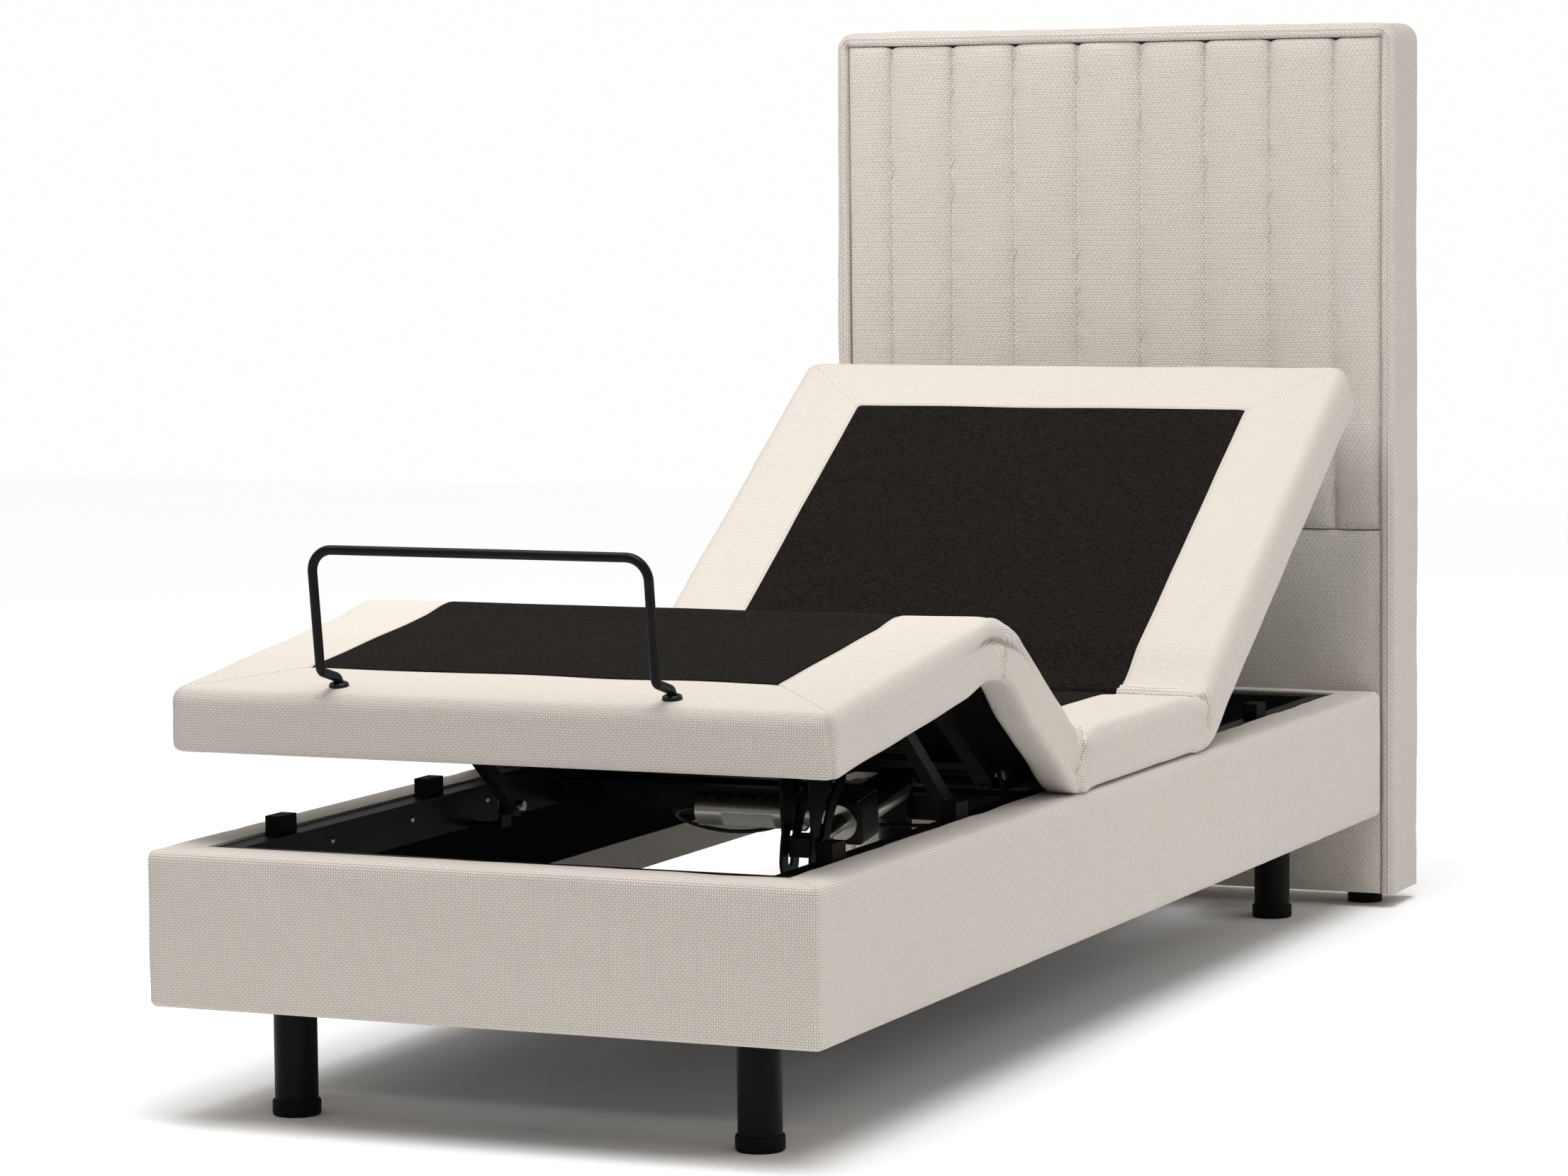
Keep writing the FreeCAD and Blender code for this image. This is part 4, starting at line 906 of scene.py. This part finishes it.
# ---- headboard upholstery
# A padded border runs up, over and down again; inside it nine sewn channels stand above a plain
# lower panel. The back is closed with the same zigzag cloth.
headboard_cloth = woven("headboard_cloth", 0.0038, (0.82, 0.765, 0.72, 1), (0.68, 0.615, 0.56, 1),
                        (0.42, 0.37, 0.32, 1), zigzag=True, depth=0.0013)
HB_HALF, HB_LOW, HB_HIGH, HB_ROUND, HB_STRIP = 0.432, 0.020, 1.270, 0.024, 0.0202
HB_FRONT, HB_BACK, HB_BOARD = 0.9545, 1.080, 0.9765
CHANNEL_LOW, PANEL_HALF, PANEL_HIGH = 0.5455, 0.4118, 1.2498
SEAMS = (0.0492, 0.1476, 0.246, 0.3425)

border_outline = [(HB_STRIP, HB_BOARD + 0.003), (HB_STRIP, HB_BOARD - 0.006),
                  (HB_STRIP - 0.0002, HB_FRONT + 0.0065), (HB_STRIP - 0.0012, HB_FRONT + 0.003),
                  (HB_STRIP - 0.0035, HB_FRONT + 0.0008),
                  (HB_STRIP - 0.006, HB_FRONT + 0.0006), (0.0118, HB_FRONT + 0.0008), (0.0103, HB_FRONT + 0.0016),
                  (0.0088, HB_FRONT + 0.0008), (0.0076, HB_FRONT + 0.0012)]
border_outline += rounding((0.011, HB_FRONT + 0.013), 0.0115, 252, 184, 6)
border_outline += stretch_of((0, HB_FRONT + 0.013), (0, HB_BACK - 0.012), 0.011)
border_outline += rounding((0.011, HB_BACK - 0.011), 0.011, 180, 90)
border_outline += [(HB_STRIP, HB_BACK), (HB_STRIP, HB_BACK - 0.004)]
border = rim_swept("headboard_border_cloth", rim_path(HB_HALF, HB_LOW, HB_HIGH, HB_ROUND, False, 0.016),
                   border_outline, HB_ROUND, HB_HALF, HB_LOW, HB_HIGH, False,
                   lambda a, b, height: (a, height, b), headboard_cloth)
places, normals = read_places(border.data), read_normals(border.data)
move = 0.0010 * uneven(places, 0.23, 31) + 0.0006 * uneven(places, 0.06, 32)
lip = bell(places[:, 1] - HB_FRONT - 0.004, 0.008)
near_top = places[:, 2] > HB_HIGH - 0.03
diagonal = abs((HB_HIGH - places[:, 2]) - (HB_HALF - abs(places[:, 0])))
move -= 0.0022 * lip * bell(diagonal, 0.004) * near_top
inner_wall = (abs(places[:, 0]) < HB_HALF - HB_STRIP + 0.001) & (places[:, 2] < HB_HIGH - HB_STRIP + 0.001)
move[inner_wall & (places[:, 1] > HB_FRONT + 0.006)] = 0
write_places(border.data, places + normals * move[:, None])
border.data.set_sharp_from_angle(angle=radians(75))


def front_panel(name, low, high, seams, depth, seed, furthest):
    """A padded panel sewn flat at its seams, seen from the foot; its back lies on the board."""
    rim = 0.007
    stops = sorted({side * seam + step for seam in seams for side in (-1, 1)
                    for step in (-0.012, -0.005, -0.0016, 0, 0.0016, 0.005, 0.012)})
    start, end = rim_stops(-PANEL_HALF, PANEL_HALF, rim)
    xs = grid_lines(start + stops + end, GRID_STEP)
    ys = [HB_FRONT + depth, HB_FRONT + depth + 0.004, HB_BOARD]
    start, end = rim_stops(low, high, rim)
    zs = grid_lines(start + end, GRID_STEP)
    places, faces, cloth = block_skin(xs, ys, zs)
    face = places[:, 1] < ys[0] + 1e-6
    lines = [side * seam for seam in seams for side in (-1, 1)]
    to_seam = np.min([abs(places[:, 0] - line) for line in [-PANEL_HALF, PANEL_HALF, *lines]], axis=0)
    to_end = np.minimum(places[:, 2] - low, high - places[:, 2])
    full = (1 - (1 - np.clip(to_seam / 0.019, 0, 1)) ** 2.4) ** 0.62
    full *= (1 - (1 - np.clip(to_end / 0.013, 0, 1)) ** 2.4) ** 0.55
    shaped = places.copy()
    shaped[face, 1] -= (full * depth * 1.02)[face]
    if seams:
        to_line = np.min([abs(places[:, 0] - line) for line in lines], axis=0)
        shaped[:, 2] -= 0.0045 * bell(to_line, 0.0050) * eased(places[:, 2], high - 0.018, high)
    piece = made_mesh(name, shaped, faces, headboard_cloth, cloth)
    relaxed(piece, (full < 0.25) | ~face, furthest, pressure=3.0)
    subdivided(piece)
    flat, normals = read_places(piece.data), read_normals(piece.data)
    seam_gap = np.min([abs(flat[:, 0] - line) for line in lines], axis=0) if seams else np.ones(len(flat))
    move = 0.0007 * uneven(flat, 0.11, seed) + 0.0005 * uneven(flat, 0.045, seed + 1) * bell(seam_gap, 0.02)
    move *= eased(-normals[:, 1], 0.2, 0.6)
    write_places(piece.data, flat + normals * move[:, None])
    piece.data.set_sharp_from_angle(angle=radians(70))
    return piece


channels = front_panel("headboard_channel_panel", CHANNEL_LOW, PANEL_HIGH, SEAMS, 0.0085, 41, 0.0022)
lower_panel = front_panel("headboard_plain_panel", HB_LOW, CHANNEL_LOW - 0.0003, (), 0.004, 43, 0.0015)

xs = grid_lines([-PANEL_HALF, PANEL_HALF], 0.03)
zs = grid_lines([HB_LOW + 0.020, PANEL_HIGH], 0.03)
places, faces, cloth = block_skin(xs, [HB_BACK - 0.0038, HB_BACK - 0.0012], zs)
places[:, 1] += np.where(places[:, 1] > HB_BACK - 0.002, 0.0007 * uneven(places, 0.3, 45), 0)
back_cloth = made_mesh("headboard_back_cloth", places, faces, headboard_cloth, cloth)
back_cloth.data.set_sharp_from_angle(angle=radians(50))

for piece, cad_node in ((border, "headboard_border"), (channels, "headboard_channels"),
                        (lower_panel, "headboard_lower_panel")):
    fixed(piece, "base", "cover_fabric", cad_node)
fixed(back_cloth, "base", "cover_fabric")

channel_lines = [straight((line, HB_FRONT, CHANNEL_LOW + 0.012), (line, HB_FRONT, PANEL_HIGH - 0.01), 40)
                 for seam in SEAMS for line in (-seam, seam)]
channel_stitches = stitched("channel_stitches", channels, channel_lines, 0.006, 0.0040, 0.0006, 0.0)
fixed(channel_stitches, "base", "cover_fabric")


# ---- boards and blocks
# Chipboard rails and plywood blocks are hidden; the rails, which make the inside of the box, and the
# boards under the sections are painted near black.
def timber(name, light, dark, stretch):
    wood = Finish(name, Roughness=0.75)
    where = wood.node("Mapping", None, {"Vector": wood.node("TexCoord").outputs["Object"], "Scale": stretch})
    grain = wood.speckle(0.02, 5.0, where.outputs[0])
    flecks = wood.speckle(0.004, 3.0)
    tone = wood.mixed(grain.between(0.3, 0.7), light, dark)
    wood.feed(wood.surface, {"Base Color": wood.mixed(flecks.between(0.5, 0.75) * 0.5, tone, dark),
                             "Roughness": 0.65 + flecks * 0.2})
    wood.relief(grain + flecks * 0.5, 0.0005)
    return wood


chipboard = timber("chipboard", (0.42, 0.31, 0.20, 1), (0.27, 0.19, 0.12, 1), (2.0, 2.0, 2.0))
plywood = timber("plywood", (0.58, 0.44, 0.29, 1), (0.43, 0.31, 0.19, 1), (6.0, 0.7, 6.0))
# A near black colour with random flecks, for the rails and the boards under the sections.
near_black_boards = Finish("near_black_boards", Roughness=0.95, Specular_IOR_Level=0.05)
fine_flecks, broad_flecks = near_black_boards.speckle(0.002, 4.0), near_black_boards.speckle(0.05, 2.0)
near_black_boards.feed(near_black_boards.surface, {"Base Color": near_black_boards.mixed(
    fine_flecks.between(0.35, 0.7) * (0.6 + broad_flecks * 0.4), (0.0030, 0.0028, 0.0026, 1), (0.0085, 0.0080, 0.0076, 1))})
near_black_boards.relief(fine_flecks, 0.0006)


def painted(finish, *names):
    for name in names:
        nodes[name].data.materials.clear()
        nodes[name].data.materials.append(finish.material)


painted(chipboard, "headboard_frame")
painted(plywood, "leg_blocks")
painted(near_black_boards, "side_rail_left", "side_rail_right", "foot_rail", "head_rail",
        "calf_deck", "thigh_deck", "seat_deck", "head_deck")

# ---- legs
# Turned black legs screwed up into the corner blocks, each in a soft foot cap with a rounded rim.
leg_paint = Finish("leg_paint", Roughness=0.4, Specular_IOR_Level=0.07)
haze, specks = leg_paint.speckle(0.03, 3.0), leg_paint.speckle(0.0012, 2.0)
leg_paint.feed(leg_paint.surface, {
    "Base Color": leg_paint.mixed(haze, (0.0035, 0.0030, 0.0028, 1), (0.0075, 0.0068, 0.0062, 1)),
    "Roughness": 0.34 + haze * 0.14 + specks * 0.05})
leg_paint.relief(specks, 0.0002)


def turned_piece(name, outline, centres, finish, sides=48):
    """Round pieces turned from an outline of (radius, height), one at each centre."""
    places, faces = [], []
    for x, y in centres:
        first = len(places)
        for radius, height in outline:
            for side in range(sides):
                turn = 2 * pi * side / sides
                places.append((x + radius * cos(turn), y + radius * sin(turn), height))
        for row in range(len(outline) - 1):
            for side in range(sides):
                beside = (side + 1) % sides
                faces.append([first + row * sides + side, first + row * sides + beside,
                              first + (row + 1) * sides + beside, first + (row + 1) * sides + side])
        faces.append([first + side for side in reversed(range(sides))])
        faces.append([first + (len(outline) - 1) * sides + side for side in range(sides)])
    piece = made_mesh(name, places, faces, finish)
    piece.data.set_sharp_from_angle(angle=radians(35))
    return piece


cap_rubber = flecked("cap_rubber", 0.004, (0.0035, 0.0035, 0.0034, 1), (0.0085, 0.0080, 0.0078, 1), detail=4.0,
                     rough=(0.5, 0.2), depth=0.0002, Specular_IOR_Level=0.07)
LEG_OUTLINE = [(0.0235, 0.003), (0.0250, 0.0045), (0.0250, 0.131), (0.0246, 0.1355), (0.0246, 0.1385),
               (0.0100, 0.1390)]
leg_centres = []
for label in ("leg_foot_left", "leg_foot_right", "leg_head_left", "leg_head_right"):
    low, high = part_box(label)
    centre = ((low.x + high.x) / 2, (low.y + high.y) / 2)
    leg_centres.append(centre)
    leg = turned_piece(f"turned_{label}", LEG_OUTLINE, [centre], leg_paint)
    fixed(leg, "base", "leg_finish", label)
caps = turned_piece("foot_caps", [(0.0262, 0.0), (0.0276, 0.0012), (0.0280, 0.003), (0.0280, 0.0155),
                                  (0.0274, 0.0174), (0.0263, 0.0180), (0.0252, 0.0176), (0.0251, 0.0150)],
                    leg_centres, cap_rubber)
fixed(caps, "base", "black_rubber", "leg_caps")
painted(cap_rubber, "support_blocks", "headboard_feet")

# ---- steel frame, hinges and struts
# Square tube and flat steel under black powder coat; pins and bolts are zinc plated.
powder_coat = Finish("powder_coat", Specular_IOR_Level=0.13)
peel, smudge = powder_coat.speckle(0.0016, 2.0), powder_coat.speckle(0.045, 4.0)
powder_coat.feed(powder_coat.surface, {
    "Base Color": powder_coat.mixed(smudge.between(0.3, 0.75),
                                    (0.0030, 0.0028, 0.0026, 1), (0.0085, 0.0075, 0.0068, 1)),
    "Roughness": 0.30 + peel * 0.10 + smudge * 0.14})
powder_coat.relief(peel, 0.00025)


def bare_metal(name, light, dark, rough):
    metal = Finish(name, Metallic=1.0)
    scuffs, bloom = metal.speckle(0.006, 5.0), metal.speckle(0.03, 3.0)
    metal.feed(metal.surface, {"Base Color": metal.mixed(bloom.between(0.3, 0.7), light, dark),
                               "Roughness": rough + scuffs * 0.16})
    metal.relief(scuffs, 0.0001)
    return metal


zinc = bare_metal("zinc_plate", (0.62, 0.60, 0.56, 1), (0.46, 0.44, 0.40, 1), 0.26)
drive_alloy = bare_metal("drive_alloy", (0.66, 0.64, 0.59, 1), (0.55, 0.53, 0.485, 1), 0.24)
moulded = Finish("moulded_black", Specular_IOR_Level=0.24)
pebble, sheen = moulded.speckle(0.0009, 2.0), moulded.speckle(0.02, 2.0)
moulded.feed(moulded.surface, {
    "Base Color": moulded.mixed(sheen, (0.0035, 0.0033, 0.0032, 1), (0.0080, 0.0076, 0.0072, 1)),
    "Roughness": 0.36 + sheen * 0.12})
moulded.relief(pebble, 0.00025)
painted(powder_coat, "frame_angles", "drive_crossbars", "seat_frame", "thigh_frame", "calf_frame", "head_frame",
        "seat_hinge_plates", "thigh_hinge_plates", "calf_hinge_plates", "head_hinge_plates", "thigh_lever",
        "head_lever", "lift_struts", "strut_brackets", "foot_drive_rod")
painted(zinc, "knee_hinge_pins", "base_hinge_pins", "strut_pins", "headboard_bolts", "headboard_straps")
painted(drive_alloy, "foot_drive_housing", "foot_drive_motor", "head_drive_rod")
painted(moulded, "head_drive_housing", "head_drive_motor", "control_box", "mains_inlet")


def rivet_layout(finish):
    layout = Layout("round_head_rivets", Radius="Float", Rise="Float")
    given = layout.given.outputs
    ball = layout.node("GeometryNodeMeshUVSphere", None, {"Segments": 14, "Rings": 7, "Radius": given["Radius"]})
    flat = layout.node("ShaderNodeCombineXYZ", None, {"X": 1.0, "Y": 1.0, "Z": given["Rise"]})
    way = layout.node("FunctionNodeAlignRotationToVector", {"axis": "Z"}, {"Vector": layout.node(
        "GeometryNodeInputNamedAttribute", {"data_type": "FLOAT_VECTOR"}, {"Name": "facing"}).outputs[0]})
    heads = layout.node("GeometryNodeInstanceOnPoints", None,
                        {"Points": given["Geometry"], "Instance": ball.outputs[0],
                         "Rotation": way.outputs[0], "Scale": flat.outputs[0]})
    layout.end(heads.outputs[0], finish.material)
    return layout


riveting = rivet_layout(zinc)


def riveted(name, body, spots, radius=0.0045, rise=0.45):
    """Round heads at (place, facing) spots, moving with a body."""
    piece = riveting.laid(name, [spot for spot, _ in spots], [], zinc, facing=[way for _, way in spots],
                          Radius=radius, Rise=rise)
    piece.data.shade_smooth()
    fixed(piece, body, "zinc_steel")


riveted("angle_screws", "base", [((side * 0.357, place, 0.285), (-side, 0, 0)) for side in (-1, 1)
                                 for place in np.arange(-0.95, 0.90, 0.20)])
DRIVE_SIDE = 0.128            # X of the foot drive's axis, midway between the lever's plates
riveted("lever_bolts", "thigh_section", [
    (tuple(turned(np.array([[DRIVE_SIDE + way * 0.021, THIGH_HINGE[1] - out, THIGH_HINGE[2] - 0.030]]),
                  THIGH_HINGE, np.array([-THIGH_TURN]))[0]), (way, 0, 0))
    for way in (-1, 1) for out in (0.208, 0.240)], 0.006, 0.4)

# ---- drives
# Two linear drives. The foot one has a bright alloy tube under a black moulded top and a bright
# motor can with a moulded comb and a blank label; the head one is all black with a round end plate.
label_paper = flecked("label_paper", 0.004, (0.62, 0.61, 0.58, 1), (0.54, 0.53, 0.50, 1), Roughness=0.55)


def curved_shell(name, start, way, radius, length, first, last, thickness, finish, slot="black_plastic",
                 body="base", wave=0.0, waves=0, steps=24):
    """Part of a tube's wall round an axis, from one angle to another; its lower edges may be waved."""
    start, way = Vector(start), Vector(way).normalized()
    side = way.cross(Vector((0, 0, 1))).normalized()
    up = side.cross(way)
    rows = max(2, waves * 8)
    places, faces = [], []
    for row in range(rows + 1):
        part = row / rows
        trim = wave * abs(sin(part * waves * pi)) if waves else 0
        for column in range(steps + 1):
            turn = radians(first + trim + (last - first - 2 * trim) * column / steps)
            out = side * cos(turn) + up * sin(turn)
            places += [start + way * (length * part) + out * radius,
                       start + way * (length * part) + out * (radius + thickness)]
    wide = steps + 1

    def at(row, column, skin):
        return (row * wide + column) * 2 + skin

    for row in range(rows):
        for column in range(steps):
            for skin in (0, 1):
                faces.append([at(row, column, skin), at(row + 1, column, skin),
                              at(row + 1, column + 1, skin), at(row, column + 1, skin)])
        for column in (0, steps):
            faces.append([at(row, column, 0), at(row + 1, column, 0),
                          at(row + 1, column, 1), at(row, column, 1)])
    for column in range(steps):
        for row in (0, rows):
            faces.append([at(row, column, 0), at(row, column + 1, 0),
                          at(row, column + 1, 1), at(row, column, 1)])
    piece = made_mesh(name, places, faces, finish)
    faced_outward(piece)
    piece.data.set_sharp_from_angle(angle=radians(40))
    fixed(piece, body, slot)


low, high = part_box("foot_drive_motor")
can_middle = ((low.y + high.y) / 2, (low.z + high.z) / 2)
CAN = 0.021
curved_shell("motor_comb", (low.x - 0.002, *can_middle), (1, 0, 0), CAN, 0.144, 38, 165, 0.0022, moulded,
             wave=16, waves=9)
curved_shell("motor_label", (low.x + 0.036, *can_middle), (1, 0, 0), CAN, 0.070, -62, -4, 0.0003, label_paper)
curved_shell("motor_end_bell", (high.x - 0.034 - 0.018, *can_middle), (1, 0, 0), CAN + 0.0001, 0.019, 0, 359.9,
             0.0016, moulded, steps=48)

TILT = radians(8)
tube_way = Vector((0, cos(TILT), sin(TILT)))
tube_start = Vector((DRIVE_SIDE, -0.4634, 0.2623))
curved_shell("drive_tube_top", tube_start + tube_way * 0.1055, tube_way, 0.0231, 0.179, 12, 168, 0.0016,
             moulded)


def drive_cover(name, along, sizes, radius, bore_radius, body):
    """A moulded cover with rounded edges, square to the foot drive's axis, bored for its rod."""
    halves = [size / 2 for size in sizes]
    lines = [grid_lines(sum(rim_stops(-half, half, radius), []), 0.008) for half in halves]
    places, faces, cloth = block_skin(*lines)
    places = rounded(places, [-half for half in halves], halves, np.full(len(places), radius))
    places = turned(places, (0, 0, 0), np.full(len(places), TILT)) + np.array(tube_start + tube_way * along)
    cover = made_mesh(name, places, faces, moulded, cloth)
    drill = bmesh.new()
    bmesh.ops.create_cone(drill, cap_ends=True, segments=32, radius1=bore_radius, radius2=bore_radius, depth=0.3,
                          matrix=Matrix.Translation(tube_start + tube_way * along)
                          @ tube_way.to_track_quat("Z", "Y").to_matrix().to_4x4())
    bore = linked("bore", bpy.data.meshes.new("bore"))
    drill.to_mesh(bore.data)
    drill.free()
    cover.modifiers.new("bored", "BOOLEAN").object = bore
    applied(cover)
    bpy.data.objects.remove(bore)
    cover.data.set_sharp_from_angle(angle=radians(60))
    fixed(cover, body, "black_plastic")


drive_cover("gear_cover", 0.139, (0.056, 0.062, 0.056), 0.006, 0.0130, "base")
curved_shell("bright_rod", tube_start + tube_way * 0.0142, tube_way, 0.01001, 0.148, 0, 359.9, 0.00002,
             drive_alloy, "zinc_steel", "foot_drive_rod", steps=48)

low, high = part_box("head_drive_motor")
head_middle = ((low.y + high.y) / 2, (low.z + high.z) / 2)
for number, place in enumerate((high.x - 0.004, high.x - 0.030, low.x + 0.040)):
    curved_shell(f"head_motor_band_{number}", (place, *head_middle), (1, 0, 0), CAN - 0.0002, 0.004, 0, 359.9,
                 0.0018, moulded, "drive_black", steps=48)

# ---- motor leads
# A thin black lead hangs from the end of each motor and goes back up into the control box between
# the cross bars. Each is one smooth spline through the route of its tube.
LEADS = {
    "foot": [(-0.072, -0.32425, 0.28324), (-0.102, -0.32425, 0.28324), (-0.124, -0.28825, 0.26324),
             (-0.086, -0.22925, 0.240), (-0.058, -0.163, 0.235), (-0.044, -0.123, 0.241),
             (-0.056, -0.105, 0.256), (-0.090, -0.105, 0.256)],
    "head": [(0.220, 0.13848, 0.264), (0.252, 0.13848, 0.264), (0.264, 0.09848, 0.250), (0.236, 0.03848, 0.237),
             (0.152, -0.015, 0.232), (0.046, -0.047, 0.231), (-0.032, -0.075, 0.239), (-0.058, -0.087, 0.256),
             (-0.090, -0.087, 0.256)],
}
lead_rubber = flecked("lead_rubber", 0.006, (0.0040, 0.0038, 0.0036, 1), (0.0090, 0.0085, 0.0080, 1),
                      rough=(0.42, 0.15), Specular_IOR_Level=0.2)
for end, route in LEADS.items():
    line = bpy.data.curves.new(f"{end}_lead", "CURVE")
    line.dimensions, line.bevel_depth, line.bevel_resolution, line.use_fill_caps = "3D", 0.0025, 4, True
    line.resolution_u = 12
    spline = line.splines.new("NURBS")
    spline.points.add(len(route) - 1)
    for point, place in zip(spline.points, route):
        point.co = (*place, 1)
    spline.order_u, spline.use_endpoint_u = 3, True
    line.materials.append(lead_rubber.material)
    lead = linked(f"{end}_lead", line)
    fixed(lead, "base", "black_rubber", f"{end}_motor_lead")

# ---- retainer bar
# One bent tube, powder coated, that stands in two bushes near the foot and keeps the mattress in place.
BAR_HALF, BAR_FOOT, BAR_FRONT, BAR_RADIUS = 0.207, 0.037 - MIDDLE_SHIFT, -0.002 - MIDDLE_SHIFT, 0.0055
BAR_TOP, BAR_CORNER = 0.3915 + 0.167, 0.026


def eased_corner(before, corner, after, radius, count=9):
    """Places that round a corner with an arc."""
    before, corner, after = Vector(before), Vector(corner), Vector(after)
    into, out = (before - corner).normalized(), (after - corner).normalized()
    half = into.angle(out) / 2
    reach = radius * cos(half) / sin(half)
    centre = corner + (into + out).normalized() * (radius / sin(half))
    first, last = corner + into * reach - centre, corner + out * reach - centre
    turn = first.angle(last)
    return [centre + (first * sin(turn * (1 - part / count)) + last * sin(turn * part / count)) / sin(turn)
            for part in range(count + 1)]


def bar_corner(x):
    foot, low_bend = (x, BAR_FOOT, PAD_TOP - 0.022), (x, BAR_FOOT, PAD_TOP + 0.0105)
    high_bend, top = (x, BAR_FRONT, PAD_TOP + 0.0265), (x, BAR_FRONT, BAR_TOP)
    line = [Vector(foot)] + eased_corner(foot, low_bend, high_bend, 0.010)
    line += eased_corner(low_bend, high_bend, top, 0.011)
    return line + eased_corner(high_bend, top, (0, BAR_FRONT, BAR_TOP), BAR_CORNER, 16)


bar_line = bar_corner(-BAR_HALF) + bar_corner(BAR_HALF)[::-1]
curve = bpy.data.curves.new("bar_line", "CURVE")
curve.dimensions, curve.bevel_depth, curve.bevel_resolution, curve.use_fill_caps = "3D", BAR_RADIUS, 7, True
spline = curve.splines.new("POLY")
spline.points.add(len(bar_line) - 1)
for point, place in zip(spline.points, bar_line):
    point.co = (*place, 1)
curve.materials.append(powder_coat.material)
rod = linked("bar_rod", curve)
bar_mesh = bpy.data.meshes.new_from_object(rod.evaluated_get(bpy.context.evaluated_depsgraph_get()))
bpy.data.objects.remove(rod)
bar = linked("bent_retainer_bar", bar_mesh)
bar_mesh.shade_smooth()
write_places(bar_mesh, foot_rest(read_places(bar_mesh), np.zeros(len(bar_mesh.vertices))))
bar_mesh.set_sharp_from_angle(angle=radians(50))
fixed(bar, "calf_section", "black_steel", "retainer_bar")

BUSH_OUTLINE = [(0.0056, -0.004), (0.0112, -0.003), (0.0115, 0.0015), (0.0108, 0.0040), (0.0092, 0.0052),
                (0.0070, 0.0052), (0.0060, 0.0040), (0.0056, 0.001)]
bush = turned_piece("bar_bushes", [(radius, PAD_TOP + rise) for radius, rise in BUSH_OUTLINE],
                    [(-BAR_HALF, BAR_FOOT), (BAR_HALF, BAR_FOOT)], moulded)
write_places(bush.data, foot_rest(read_places(bush.data), np.zeros(len(bush.data.vertices))))
fixed(bush, "calf_section", "black_rubber", "retainer_bushes")
